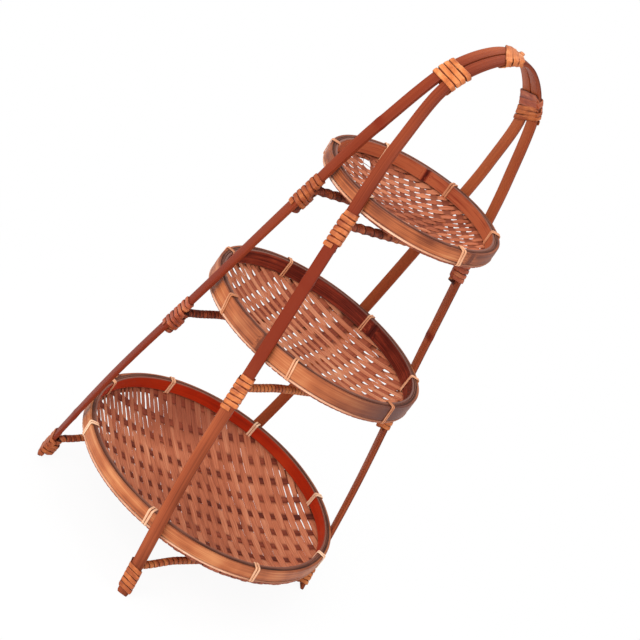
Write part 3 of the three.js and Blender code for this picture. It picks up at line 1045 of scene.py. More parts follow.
class Winding:
    """One unbroken flat cane wound round a convex outline."""

    def __init__(self, corners: np.ndarray, lift: float, rounding: float) -> None:
        """Rounds the outline.

        Args:
            corners: points whose hull the cane goes round.
            lift: distance from the hull's flat sides to the cane's inner face.
            rounding: radius at which the cane bends over the hull's corners.
        """
        angles = np.linspace(0, 2 * np.pi, 1441)
        outward = np.stack([np.cos(angles), np.sin(angles)], axis=1)
        middle = corners.mean(axis=0)
        inset = corners - (rounding - lift) * np.sign(corners - middle)
        reach = inset[np.argmax(outward @ inset.T, axis=1)]
        line = reach + rounding * outward
        self.lengths = arc_lengths(line)
        self.girth = float(self.lengths[-1])
        self.line = line
        self.outward = outward

    def at(self, distance: np.ndarray) -> tuple[np.ndarray, np.ndarray]:
        """Looks up places on the outline.

        Args:
            distance: distances round it.

        Returns:
            The points there, and the ways out of it.
        """
        inside = np.mod(distance, self.girth)
        points = [np.interp(inside, self.lengths, self.line[:, k]) for k in range(2)]
        outward = [np.interp(inside, self.lengths, self.outward[:, k]) for k in range(2)]
        return np.stack(points, axis=1), unit(np.stack(outward, axis=1))

    def starting(self, direction: tuple[float, float]) -> float:
        """Distance round the outline where it faces a direction."""
        return float(self.lengths[np.argmax(self.outward @ np.array(direction))])


@dataclass
class LegLashing:
    """Flat cane that binds a crossbar's end to a leg, in turns above and below the bar.

    Attributes:
        bar: the crossbar.
        leg: the leg.
        above: number of turns round the leg alone, above the bar.
        below: number of turns round the leg and the bar's end.
        slant: slope of the turns.
        width: width of the cane.
        thickness: its thickness.
        pitch: distance between turns.
        spread: how far the turns next to the bar move away from it on the inner side.
        closing: how fast they close up again further off.
        rounding: radius at which the cane bends over the leg's edges.
        step: length of one step of its mesh, in turns.
        tone: how light it is, from 0 to 1.
    """

    bar: Crossbar
    leg: Leg
    above: float
    below: float
    slant: float
    tone: float
    width: float = 4.5
    thickness: float = 1.15
    pitch: float = 5.1
    spread: float = 3.9
    closing: float = 0.19
    rounding: float = 0.9
    step: float = 0.035

    def build(self, name: str, material: bpy.types.Material, seed: int) -> None:
        """Builds the lashing as one piece.

        Args:
            name: the CAD node that it replaces.
            material: the finish.
            seed: start of the small unevenness of the turns.
        """
        rng = np.random.default_rng(seed)
        hoops, bar = self.bar.hoops, self.bar
        strip = rectangle(hoops.width / 2, -hoops.thickness / 2, hoops.thickness / 2)
        rod = round_section(bar.diameter / 2, 24) - np.array([0, bar.seat()])
        alone = Winding(strip, FIT, self.rounding)
        both = Winding(np.vstack([strip, rod]), FIT, FIT)
        turn = np.arange(-self.above, self.below + self.step / 2, self.step)
        flat_alone, out_alone = alone.at(alone.starting((0, 1)) + turn * alone.girth)
        flat_both, out_both = both.at(both.starting((0, 1)) + turn * both.girth)
        drop = -self.pitch * turn
        # Below the bar's bend its end lies against the leg, and the turns go round both.
        share = smoothstep(-drop, 0.5, bar.bend + 0.5)[:, None]
        flat = (1 - share) * flat_alone + share * flat_both
        outward = unit((1 - share) * out_alone + share * out_both)
        inner = smoothstep(-outward[:, 1], -0.2, 0.9)
        away = np.clip(self.spread - self.closing * np.abs(drop), 0, None) * np.sign(drop + 1e-6)
        travel = drop + inner * away + self.slant * flat[:, 0]
        # Wound by hand: each turn strays by a fifth of a millimetre.
        travel += 0.22 * np.sin(2.1 * turn + rng.uniform(0, 6)) * np.sign(flat[:, 0])
        base, along, across, out = hoops.leg_frame(bar.side, self.leg, bar.joint() + drop)
        path = carry(flat, across, out, base + along * (travel - drop)[:, None])
        spoke = carry(outward, across, out)
        section, wear = shaded_cane(self.width, self.thickness)
        shape = Shape()
        shape.ribbon(path, spoke, section, self.tone + rng.uniform(-0.1, 0.1), wear)
        shape.finish(name, Slot.LASHING, material, [name])


@dataclass
class HandleLashing:
    """Flat cane that binds the two strips of the handle to each other.

    Attributes:
        hoops: the hoops.
        centre: distance of its middle from the handle's top.
        turns: number of turns.
        slant: slope of the turns over the strips.
        width: width of the cane.
        pitch: distance between turns.
        thickness: thickness of the cane.
        tone: how light it is, from 0 to 1.
        tuck: share of a turn by which the cane's ends go on underneath.
        rounding: radius at which the cane bends over the strips' edges.
        step: length of one step of its mesh.
    """

    hoops: Hoops
    centre: float
    turns: float
    slant: float
    width: float = 5.5
    pitch: float = 6.2
    thickness: float = 1.1
    tone: float = 0.5
    tuck: float = 0.35
    rounding: float = 1.0
    step: float = 0.9

    def build(
        self, name: str, node: str, material: bpy.types.Material, seed: int, knot: float = 0.0
    ) -> None:
        """Builds the lashing as one piece.

        Args:
            name: the piece's name.
            node: the CAD node that it replaces.
            material: the finish.
            seed: start of the small unevenness of the turns.
            knot: thickness of the end tucked under the last turn, or 0 for none.
        """
        rng = np.random.default_rng(seed)
        hoops = self.hoops
        reach = self.pitch * self.turns / 2
        lowest = hoops.handle_frame(np.array([abs(self.centre) + reach]))[0][0, 2]
        x = float(hoops.half_depth(lowest)) + hoops.width / 2
        y = hoops.thickness / 2 + hoops.crown
        outline = Winding(rectangle(x, -y, y), FIT, self.rounding)
        girth = outline.girth
        turns = self.turns + self.tuck
        distance = np.arange(0, turns * girth, self.step)
        flat, outward = outline.at(distance + outline.starting((-0.6, -1)))
        travel = self.centre + self.pitch * (distance / girth - turns / 2)
        travel = travel + self.slant * flat[:, 0]
        travel = travel + 0.3 * np.sin(distance / 17 + rng.uniform(0, 6)) * np.sign(flat[:, 0])
        section, wear = shaded_cane(self.width, self.thickness)
        shape = Shape()
        self.lay(shape, travel, flat, outward, section, self.tone, wear)
        if knot:
            # The end rises from under the last turn, arches over the edge and dives again.
            share = np.linspace(0, 1, 24)
            arch = np.sin(np.pi * share)
            end = self.centre + reach - 1.5
            over = np.stack([x - 6.5 + 8 * share, y + 0.6 + knot * arch], axis=1)
            facing = unit(np.stack([0.9 * (share - 0.3), 1 - 0.5 * share], axis=1))
            run = end + self.slant * over[:, 0] + 1.5 * arch
            self.lay(shape, run, over, facing, cane_section(4.6, 1.4), self.tone + 0.1, wear)
        shape.finish(name, Slot.LASHING, material, [node])

    def lay(
        self,
        shape: Shape,
        travel: np.ndarray,
        flat: np.ndarray,
        outward: np.ndarray,
        section: np.ndarray,
        tone: float,
        wear: np.ndarray,
    ) -> None:
        """Lays a cane on the handle.

        Args:
            shape: the mesh that gets it.
            travel: distances along the handle from its top.
            flat: places across the strips and out of their face.
            outward: the ways out of what it lies on.
            section: the cane's cross-section.
            tone: its own tone.
            wear: rubbing and painted shade at each point of the section.
        """
        origin, _, across, out = self.hoops.handle_frame(travel)
        path, spoke = carry(flat, across, out, origin), carry(outward, across, out)
        shape.ribbon(path, spoke, section, tone, wear)


# The trays


@dataclass
class Weave:
    """How a tray's mat is woven plainly: narrow splints one way and broad ones across them.

    A narrow splint dives under a broad one where the sum of their numbers is even, and
    climbs over it elsewhere. The hand-laid lattice is a little bowed and fanned.

    Attributes:
        bearing: the way that the narrow splints run, in degrees.
        narrow_pitch: distance between narrow splints.
        narrow_width: width of a narrow splint.
        narrow_phase: place of narrow splint 0.
        broad_pitch: distance between broad splints.
        broad_width: width of a broad splint.
        broad_phase: place of broad splint 0.
        bow: bend of the broad splints, per millimetre.
        fan: how fast they spread along the mat, per millimetre.
        sway: bend of the narrow splints, per millimetre.
        dive: how deep a narrow splint dives.
        rise: how high it climbs.
        ramp: length of its way from there to the middle's height.
        slack: most of its width that it loses where the weave has come loose.
        loose: where that is: bearings in degrees, each with the distances from the mat's
            middle at which the looseness starts and is full.
        tones: how much lighter than usual the narrow and the broad splints are.
        shadow: how much painted shade the splints get at the mat's far side.
        seed: start of the splints' small unevenness.
        hold: how far past the broad splint's edge a narrow one stays down or up.
        flare: share of its width by which it spreads over a broad splint.
        pinch: share of its width that it loses at a hole where it dives, and where it climbs.
        hole: distance from a broad splint's middle to the middle of a hole.
        hole_length: length of a hole along the narrow splint.
        bed: how far the broad splints lie under the mat's middle height.
        torn: bearing, distance from the middle and radius of a hole broken in the mat.
    """

    bearing: float
    narrow_pitch: float
    narrow_width: float
    narrow_phase: float
    broad_pitch: float
    broad_width: float
    broad_phase: float
    bow: float
    fan: float
    sway: float
    dive: float
    rise: float
    ramp: float
    slack: float
    loose: tuple[tuple[float, float, float], ...]
    tones: tuple[float, float]
    shadow: float
    seed: int
    hold: float = 0.3
    flare: float = 0
    pinch: tuple[float, float] = (0, 0)
    hole: float = 0
    hole_length: float = 7
    bed: float = 0.1
    torn: tuple[float, float, float] | None = None

    def crossing(self, run: np.ndarray) -> tuple[np.ndarray, np.ndarray]:
        """Which broad splints a narrow one crosses.

        Args:
            run: places along the narrow splint.

        Returns:
            The number of the nearest broad splint, and the distance to its middle.
        """
        crossed = np.round((run - self.broad_phase) / self.broad_pitch)
        return crossed, np.abs(run - self.broad_phase - crossed * self.broad_pitch)

    def over(self, number: int, run: np.ndarray) -> tuple[np.ndarray, np.ndarray]:
        """Where a narrow splint lies over the broad ones, and how near it is to one.

        Args:
            number: the narrow splint's number.
            run: places along it.

        Returns:
            1 beside a broad splint that it goes over and -1 beside one that it goes under,
            and the nearness, from 0 to 1.
        """
        crossed, distance = self.crossing(run)
        edge = self.broad_width / 2 + self.hold
        return 2 * np.mod(crossed + number, 2) - 1, 1 - smoothstep(distance, edge, edge + self.ramp)

    def spread(self, number: int, run: np.ndarray) -> np.ndarray:
        """A narrow splint's share of its width: more where it climbs, less at the holes.

        Args:
            number: the splint's number.
            run: places along it.

        Returns:
            The share at each place.
        """
        way, near = self.over(number, run)
        half = self.hole_length / 2
        away = np.abs(self.crossing(run)[1] - self.hole)
        pinch = np.where(way < 0, self.pinch[0], self.pinch[1])
        hole = 1 - smoothstep(away, 0.6 * half, 1.3 * half)
        return 1 - pinch * hole + self.flare * np.where(way > 0, near, 0)

    def intact(self, places: np.ndarray) -> np.ndarray:
        """Share of a splint's width that the hole broken in the mat leaves.

        Args:
            places: places in the tray's plan.

        Returns:
            The share at each.
        """
        if self.torn is None:
            return np.ones(len(places))
        bearing, distance, radius = self.torn
        angle = math.radians(bearing)
        middle = distance * np.array([math.cos(angle), math.sin(angle)])
        away = np.linalg.norm(places - middle, axis=1)
        # A thread of each splint stays, too thin to see, so that its mesh is one body.
        return 0.03 + 0.97 * smoothstep(away, 0.7 * radius, radius)


@dataclass
class Tray:
    """A round tray: a woven mat held between two bands of split bamboo.

    Attributes:
        tier: which tray it is.
        diameter: diameter over the outer band.
        outer_band: height of the outer band.
        inner_band: height of the inner band.
        depth: depth of the mat's underside below the rim's top.
        ties: bearings of the rim ties, in degrees.
        trim: height planed off the outer band's lower edge.
        laps: bearings of the outer and the inner band's lapped end, in degrees.
        tones: how light the outer band, the inner band and the ties are, from 0 to 1.
        tie_width: width of the ties' cane.
        sag: how far the splints' curled ends hang under the edge reed, in front.
        stains_and_shade: where the outer band is painted dark: bearings and half widths in degrees,
            and how much. Near 275 to 290 degrees this is painted shade; the middle tray's mark at
            188 degrees is a real stain.
        weave: how its mat is woven.
        tilt: how far its +X side is raised, in degrees.
        outer_thickness: thickness of the outer band.
        inner_thickness: thickness of the inner band.
        mat_room: room between the bands for the mat's edge.
        reed: diameter of the edge reed.
        reed_inset: how far its middle lies inside the outer band's face.
        mat_drop: how far the mat's underside lies below the inner band, at the rim.
        mat_seat: how far the weave's middle stands off that underside, square to it.
        mat_lift: how far it is raised besides, straight up.
        mat_inset: how far inside the outer band the splints end.
        bowl_power: power of the bowl's curve: the higher, the flatter its middle.
        splint: thickness of a splint.
        overlap: length of a band's lap.
        thinned: share of its thickness that a lapped end keeps.
        lap_gap: gap between the two ends of a band in its lap.
        tie_gap: gap between the two strands of a tie.
        tie_turns: number of turns of a tie's cane.
        tie_thickness: its thickness.
        tie_rounding: radius at which it bends over the rim's edges.
    """

    tier: Tier
    diameter: float
    outer_band: float
    inner_band: float
    depth: float
    ties: tuple[float, ...]
    trim: float
    laps: tuple[float, float]
    tones: tuple[float, float, float]
    tie_width: float
    sag: float
    stains_and_shade: tuple[tuple[float, float, float], ...]
    weave: Weave
    tilt: float = 0
    outer_thickness: float = 2.6
    inner_thickness: float = 2.4
    mat_room: float = 2.0
    reed: float = 2.1
    reed_inset: float = 0.9
    mat_drop: float = 1.2
    mat_seat: float = 1.25
    mat_lift: float = 0.4
    mat_inset: float = 0.9
    bowl_power: float = 2.8
    splint: float = 0.62
    overlap: float = 26
    thinned: float = 0.35
    lap_gap: float = 0.08
    tie_gap: float = 0.8
    tie_turns: float = 2.12
    tie_thickness: float = 0.85
    tie_rounding: float = 1.3

    def __post_init__(self) -> None:
        """Reads the tray's place from its CAD rim."""
        low, high = (np.array(corner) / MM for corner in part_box(self.node("outer_band")))
        tilt = math.radians(self.tilt)
        radius = self.diameter / 2
        wide = (high[0] - low[0] - self.outer_band * math.sin(tilt)) / 2 / math.cos(tilt)
        squeeze = np.array([wide / radius, (high[1] - low[1]) / 2 / radius, 1.0])
        x, z = low[0] + wide * math.cos(tilt), high[2] - wide * math.sin(tilt)
        self.place = Place(np.array([x, (low[1] + high[1]) / 2, z]), squeeze, tilt)
        self.radius = radius

    def node(self, part: str) -> str:
        """The CAD name of one of the tray's parts."""
        return f"{self.tier.name}_tray_{part}"

    def edge(self) -> float:
        """Height of the edge reed's upper side."""
        return self.trim - self.outer_band - FIT

    def under(self, radius: np.ndarray) -> np.ndarray:
        """Depth of the mat's underside below the rim's top.

        Args:
            radius: distances from the tray's middle.

        Returns:
            The depth at each.
        """
        edge = self.inner_band + self.mat_drop
        share = np.clip(radius / (self.radius - self.outer_thickness - FIT), 0, 1)
        return self.depth - (self.depth - edge) * share**self.bowl_power

    def band(self, outer: bool, material: bpy.types.Material) -> None:
        """Builds one band as a bent strip whose end laps over its beginning.

        Args:
            outer: whether it is the outer band, whose end lies on the outside.
            material: the finish.
        """
        # proud: on which side the end laps over; step: how far it stands out there;
        # rubbed: how worn the upper edge is.
        if outer:
            part, slot, height = "outer_band", Slot.OUTER_BAND, self.outer_band - self.trim
            thickness, low_radius = self.outer_thickness, self.radius - self.outer_thickness
            lap, tone, proud, step, rubbed = self.laps[0], self.tones[0], 1, 0.7, 0.25
        else:
            part, slot, height = "inner_band", Slot.INNER_BAND, self.inner_band
            thickness = self.inner_thickness
            low_radius = self.radius - self.outer_thickness - 2 * FIT - self.mat_room - thickness
            lap, tone, proud, step, rubbed = self.laps[1], self.tones[1], -1, 1.1, 0.95
        middle = low_radius + thickness / 2
        length = 2 * np.pi * middle
        whole = length + self.overlap
        travel = np.linspace(0, whole, int(whole / RING_STEP))
        angle = math.radians(lap) + proud * travel / middle
        end = smoothstep(travel, length, whole)
        grown = 1 - self.thinned
        start = self.thinned + grown * smoothstep(travel, 0, self.overlap)
        late = travel > length
        if outer:
            near = np.where(late, thickness * (self.thinned + grown * end) + self.lap_gap, 0.0)
            far = np.where(late, thickness + step * end, thickness * start)
        else:
            thick = thickness * (1 - self.thinned - grown * end) - self.lap_gap
            near = np.where(late, -step * end, thickness * (1 - start))
            far = np.where(late, thick, thickness)
        # Planed by hand: the edges wander by a fraction of a millimetre.
        wave = 0.15 * np.sin(travel / 31) + 0.1 * np.sin(travel / 13 + 1)
        high, low = 0.6 * wave, wave - height
        # The edges are rounded, the rubbing at the upper edge and the painted shade at the lower
        # one fade out beside them, and the outer face bulges.
        cut = np.minimum(0.45, (far - near) / 3)
        fade = cut + 0.6
        belly = 0.15 * proud
        half = (low + high) / 2
        # Each corner of the section: out, up, and how dark it is painted there, rubbed at the upper
        # edge and painted shade along the lower edge and the underside.
        corners = (
            (far, low + cut, 0.5),
            (far, low + fade, 0.0),
            (far + max(belly, 0), half, 0.0),
            (far, high - fade, 0.0),
            (far, high - cut, 0.6 * rubbed),
            (far - cut, high, rubbed),
            (near + cut, high, rubbed),
            (near, high - cut, 0.6 * rubbed),
            (near, high - fade, 0.0),
            (near + min(belly, 0), half, 0.0),
            (near, low + fade, 0.0),
            (near, low + cut, 0.5),
            (near + cut, low, 0.9),
            (far - cut, low, 0.9),
        )
        section = np.stack([np.stack(corner[:2], axis=-1) for corner in corners], axis=1)
        points = (low_radius + section[..., :1]) * spokes(angle)[:, None] + section[..., 1:] * UP
        wear = np.tile([corner[2] for corner in corners], (len(travel), 1))
        # Near 275 to 290 degrees these marks are painted shade; the middle tray's mark at 188
        # degrees is a real stain by its lap.
        for bearing, spread, share in self.stains_and_shade if outer else ():
            away = np.mod(np.degrees(angle) - bearing + 180, 360) - 180
            wear = np.maximum(wear, share * np.exp(-((away / spread) ** 2))[:, None])
        # Painted shadow darkens the band at the lap's two steps.
        shadow = np.exp(-(((travel - travel[-1]) / 1.8) ** 2))
        shadow = shadow + np.exp(-(((travel - self.overlap) / 2.2) ** 2))
        shape = Shape()
        shape.loft(self.place.apply(points), tone - 0.8 * shadow[:, None], wear)
        shape.finish(self.node(part), slot, material, [self.node(part)])

    def ring(
        self,
        shape: Shape,
        radius: float,
        level: float,
        thickness: float,
        start: float,
        tone: float,
        stain_and_shade: float = 0.0,
    ) -> None:
        """Adds a thin round splint bent to a ring.

        Args:
            shape: the mesh that gets it.
            radius: radius of the ring.
            level: height of its middle.
            thickness: its diameter.
            start: where its unevenness starts.
            tone: its own tone.
            stain_and_shade: how much painted shade it gets near the bearing of 287 degrees.
        """
        # Bent by hand: a tenth of a millimetre off round and level.
        count = int(2 * np.pi * radius / RING_STEP)
        angle = 2 * np.pi * np.arange(count) / count
        wave = 0.12 * np.sin(5 * angle + start) + 0.08 * np.sin(13 * angle + 2 * start)
        path = (radius + wave)[:, None] * spokes(angle)
        path[:, 2] = level + 0.6 * wave
        up = np.broadcast_to(UP, path.shape)
        # Painted shade: the reed is darkened on its side near 287 degrees.
        wear = stain_and_shade * smoothstep(np.cos(angle - math.radians(287)), 0.75, 0.95)
        section = round_section(thickness / 2, 8)
        shape.ribbon(path, up, section, tone, wear[:, None], True, self.place)

    def tie(self, name: str, bearing: float, material: bpy.types.Material, seed: int) -> None:
        """Builds one tie: two strands of thin cane round the rim.

        Args:
            name: the CAD node that it replaces.
            bearing: where it stands, in degrees.
            material: the finish.
            seed: start of its small unevenness.
        """
        rng = np.random.default_rng(seed)
        half = (self.outer_thickness + self.mat_room + 2 * FIT + self.inner_thickness) / 2
        corners = rectangle(half, self.edge() - self.reed, 0.6)
        outline = Winding(corners, FIT, self.tie_rounding)
        girth, turns = outline.girth, self.tie_turns
        distance = np.arange(0, turns * girth, 0.8)
        flat, outward = outline.at(distance + outline.starting((-0.4, -1)))
        # On the rim's outside the strands lean, each tie's by a slope of its own.
        outer = (flat[:, 0] + half) / (2 * half)
        travel = (self.tie_width + self.tie_gap) * (distance / girth - turns / 2)
        lean = rng.uniform(-0.26, -0.12) * flat[:, 1] * outer
        travel = travel + lean + 0.1 * np.sin(distance / 5)
        radius = self.radius - half + flat[:, 0]
        spoke = spokes(math.radians(bearing) + travel / self.radius)
        path = radius[:, None] * spoke + flat[:, 1:] * UP
        section = cane_section(self.tie_width, self.tie_thickness)
        # Painted shade: the cane's flat inner face, where it lies on the rim, is darkened.
        wear = np.where(section[:, 1] < 0.3, 0.8, 0.0)
        tone = self.tones[2] + rng.uniform(-0.2, 0.2)
        shape = Shape()
        shape.ribbon(path, carry(outward, spoke, UP), section, tone, wear, False, self.place)
        shape.finish(name, Slot.TIE, material, [name])

    def build(
        self,
        finishes: dict[Slot, bpy.types.Material],
        inner: bpy.types.Material,
        broad: bpy.types.Material,
    ) -> None:
        """Builds the whole tray.

        Args:
            finishes: the finish of each slot.
            inner: the finish of the inner band.
            broad: the finish of the mat's broad splints.
        """
        self.band(True, finishes[Slot.OUTER_BAND])
        self.band(False, inner)
        # The filler is two round shavings, side by side on the rim's top.
        filler, reed = Shape(), Shape()
        room = self.radius - self.outer_thickness
        for number, drop in enumerate((0.65, 1.9)):
            level, tone = -0.05 + 0.15 * number, 0.3 + 0.4 * number
            self.ring(filler, room - drop, level, 1.3, number * 2.0, tone)
        level = self.edge() - self.reed / 2
        self.ring(reed, self.radius - self.reed_inset, level, self.reed, 1.0, 0.5, stain_and_shade=0.85)
        rings = (filler, "rim_filler", Slot.FILLER), (reed, "edge_reed", Slot.REED)
        for shape, part, slot in rings:
            shape.finish(self.node(part), slot, finishes[slot], [self.node(part)])
        for number, bearing in enumerate(self.ties, 1):
            name = self.node(f"rim_tie_{number}")
            self.tie(name, bearing, finishes[Slot.TIE], 40 * self.tier.value + number)
        self.narrow(finishes[Slot.MAT])
        self.broad(broad)

    def plan(self, along: np.ndarray, aside: np.ndarray) -> np.ndarray:
        """Carries places in the weave's own lattice to the tray's plan.

        Args:
            along: distance along the narrow splints.
            aside: distance across them.

        Returns:
            X and Y in the tray's frame.
        """
        weave = self.weave
        angle = math.radians(weave.bearing)
        first = along + weave.bow * aside**2 + weave.fan * aside * along
        second = aside + weave.sway * along**2
        x = first * math.cos(angle) - second * math.sin(angle)
        y = first * math.sin(angle) + second * math.cos(angle)
        return np.stack([x, y], axis=-1)

    def numbers(self, pitch: float) -> range:
        """Numbers of the splints that may cross the mat, when they lie at a pitch."""
        count = int(1.15 * self.radius / pitch) + 2
        return range(-count, count + 1)

    def reach(self, runs_along: bool, offset: float) -> tuple[float, float] | None:
        """Where a line of the lattice enters and leaves the rim.

        Args:
            runs_along: whether it runs with the narrow splints.
            offset: its place across its run.

        Returns:
            The two places, or None where the line misses the rim.
        """
        scan = np.linspace(-1.3, 1.3, 521) * self.radius
        fixed = np.full(len(scan), offset)
        points = self.plan(scan, fixed) if runs_along else self.plan(fixed, scan)
        rim = self.radius - self.outer_thickness - FIT - self.mat_inset
        excess = np.hypot(points[:, 0], points[:, 1]) - rim
        inside = np.nonzero(excess < 0)[0]
        # A line that only grazes the rim carries no splint.
        if len(inside) < 8:
            return None
        first, last = inside[0], inside[-1]
        start = np.interp(0, [excess[first], excess[first - 1]], [scan[first], scan[first - 1]])
        end = np.interp(0, [excess[last], excess[last + 1]], [scan[last], scan[last + 1]])
        return float(start), float(end)

    def splint_body(
        self,
        shape: Shape,
        runs_along: bool,
        offset: float,
        width: Profile,
        lift: Profile,
        wear: Profile,
        tone: float,
        widest: float,
    ) -> None:
        """Adds one splint of the mat, laid on the bowl and cut at the rim.

        Args:
            shape: the mesh that gets it.
            runs_along: whether it runs with the narrow splints.
            offset: its place across its run.
            width: its width at places along it.
            lift: its height over the mat's middle.
            wear: its rubbing and painted shade.
            tone: its own tone.
            widest: its full width.
        """
        shares = (-0.5, -0.25, 0, 0.25, 0.5)
        spans = [self.reach(runs_along, offset + share * widest) for share in shares]
        if any(span is None for span in spans):
            return
        longest = max(end - start for start, end in spans)
        step = min(1.9, self.weave.ramp / 2)
        travel = np.linspace(0, 1, max(6, int(longest / step)))
        tops, bottoms, worn_and_shaded = [], [], []
        for share, (start, end), crown in zip(shares, spans, (-0.06, 0.02, 0.05, 0.02, -0.06)):
            run = start + travel * (end - start)
            line = np.full(len(run), offset)
            centre = self.plan(run, line) if runs_along else self.plan(line, run)
            fixed = offset + share * width(run) * self.weave.intact(centre)
            flat = self.plan(run, fixed) if runs_along else self.plan(fixed, run)
            radius = np.hypot(flat[:, 0], flat[:, 1])
            slope = (self.under(radius) - self.under(radius + 0.1)) / 0.1
            surface = self.mat_lift - self.under(radius) + self.mat_seat * np.hypot(1, slope)
            tilt = -slope[:, None] * flat / (radius[:, None] + 1e-6)
            normal = unit(np.concatenate([tilt, np.ones((len(run), 1))], axis=1))
            point = np.concatenate([flat, surface[:, None]], axis=1)
            tops.append(point + (lift(run) + self.splint / 2 + crown)[:, None] * normal)
            bottoms.append(point + (lift(run) - self.splint / 2)[:, None] * normal)
            worn_and_shaded.append(wear(run))
        rings = np.stack([*tops, *bottoms[::-1]], axis=1)
        # Both ends tuck up between the bands, by a millimetre and a half.
        rings[(0, -1), :, 2] += 1.5
        shape.loft(self.place.apply(rings), tone, np.stack([*worn_and_shaded, *worn_and_shaded[::-1]], axis=1))

    def narrow(self, material: bpy.types.Material) -> None:
        """Builds the narrow splints of the mat, with their curled ends, as one piece.

        Args:
            material: the finish.
        """
        weave = self.weave
        rng = np.random.default_rng(weave.seed)
        shape = Shape()
        for number in self.numbers(weave.narrow_pitch):
            offset = weave.narrow_phase + number * weave.narrow_pitch + rng.normal(0, 0.1)
            widest = weave.narrow_width * rng.uniform(0.97, 1.03)
            tone = rng.uniform(0.2, 0.8) + weave.tones[0]
            loosest = weave.slack * rng.uniform(0.1, 1)
            uneven = rng.uniform(-16, 16, len(weave.loose))

            def width(run: np.ndarray) -> np.ndarray:
                """The splint's width: less where the weave has come loose.

                Args:
                    run: places along it.

                Returns:
                    The width at each.
                """
                plan = self.plan(run, np.full(len(run), offset))
                loose = np.zeros(len(run))
                for (bearing, start, full), shift in zip(weave.loose, uneven):
                    angle = math.radians(bearing)
                    out = plan @ np.array([math.cos(angle), math.sin(angle)])
                    loose = np.maximum(loose, smoothstep(out + shift, start, full))
                return widest * weave.spread(number, run) * (1 - loosest * loose)

            def lift(run: np.ndarray) -> np.ndarray:
                """The splint's height over the mat's middle."""
                way, near = weave.over(number, run)
                return np.where(way < 0, -weave.dive, weave.rise) * near

            def wear(run: np.ndarray) -> np.ndarray:
                """The splint's painted shade: dark where it dives, and at the mat's far side, in
                the rim's shade.

                Args:
                    run: places along it.

                Returns:
                    The painted shade at each.
                """
                way, near = weave.over(number, run)
                far = self.plan(run, np.full(len(run), offset)) @ FAR_SIDE / self.radius
                shadow = weave.shadow * smoothstep(far, 0.45, 0.85)
                return np.maximum(0.7 * np.where(way < 0, near, 0) ** 2, shadow)

            self.splint_body(shape, True, offset, width, lift, wear, tone, widest)
        self.curls(shape, rng)
        name = self.node("narrow_splints")
        shape.finish(name, Slot.MAT, material, [self.node("woven_mat")])

    def curls(self, shape: Shape, rng: np.random.Generator) -> None:
        """Adds the splints' ends, which curl up under the edge reed and sag at the front.

        Args:
            shape: the mesh that gets them.
            rng: source of their small unevenness.
        """
        # One end every 6.3 mm round the rim. It leaves the mat 9 mm inside the rim, sags
        # and rises again to the reed.
        edge = self.edge() - self.reed
        count = int(2 * np.pi * self.radius / 6.3)
        share = np.linspace(0, 1, 10)
        rest = 1 - share
        weights = np.stack([rest**3, 3 * rest**2 * share, 3 * rest * share**2, share**3], axis=1)
        section = cane_section(5.9, 0.7)
        start, rim = self.radius - 9, self.radius - self.reed_inset
        mat = self.mat_lift - float(self.under(np.array(start)))
        for number in range(count):
            bearing = 2 * np.pi * (number + rng.uniform(-0.1, 0.1)) / count
            # They sag most at the bearing of 265 degrees, low in the photograph.
            front = 0.5 + 0.5 * math.cos(bearing - math.radians(265))
            hung = 0.15 + 0.85 * float(smoothstep(front, 0.74, 0.95))
            sag = rng.uniform(0.8, 1.2) * self.sag * hung
            lowest, outermost = edge - 1.2 - 1.3 * sag, edge - 0.8 - 1.2 * sag
            bent = [self.radius - 4.5, lowest]
            controls = [[start, mat], bent, [rim, outermost], [rim, edge + 0.3]]
            flat = weights @ np.array(controls)
            spoke = np.array([math.cos(bearing), math.sin(bearing), 0])
            slope = np.gradient(flat, axis=0)
            up = slope[:, 1:] * spoke - slope[:, :1] * UP
            # Painted shade: the curled ends are darkened by a random amount under the rim.
            tone, wear = rng.uniform(0, 0.5), rng.uniform(0.3, 0.7)
            shape.ribbon(carry(flat, spoke, UP), up, section, tone, wear, False, self.place)

    def broad(self, material: bpy.types.Material) -> None:
        """Builds the broad splints of the mat as one piece.

        Args:
            material: the finish.
        """
        weave = self.weave
        rng = np.random.default_rng(weave.seed + 1)
        shape = Shape()
        for number in self.numbers(weave.broad_pitch):
            offset = weave.broad_phase + number * weave.broad_pitch + rng.normal(0, 0.15)
            widest = weave.broad_width * rng.uniform(0.96, 1.04)
            way = 1 - 2 * (number % 2)

            def wave(run: np.ndarray) -> np.ndarray:
                """How the splint bends up and down between the narrow ones, from -1 to 1."""
                return way * np.cos(np.pi * (run - weave.narrow_phase) / weave.narrow_pitch)

            # Painted shade: each broad splint darkens where it bends down under a narrow one.
            self.splint_body(
                shape,
                False,
                offset,
                lambda run: np.full(len(run), widest),
                lambda run: 0.2 * wave(run) - weave.bed,
                lambda run: 0.3 - 0.3 * wave(run),
                rng.uniform(0.3, 0.7) + weave.tones[1],
                widest,
            )
        name = self.node("broad_splints")
        shape.finish(name, Slot.MAT, material, [self.node("woven_mat")])


# The studio


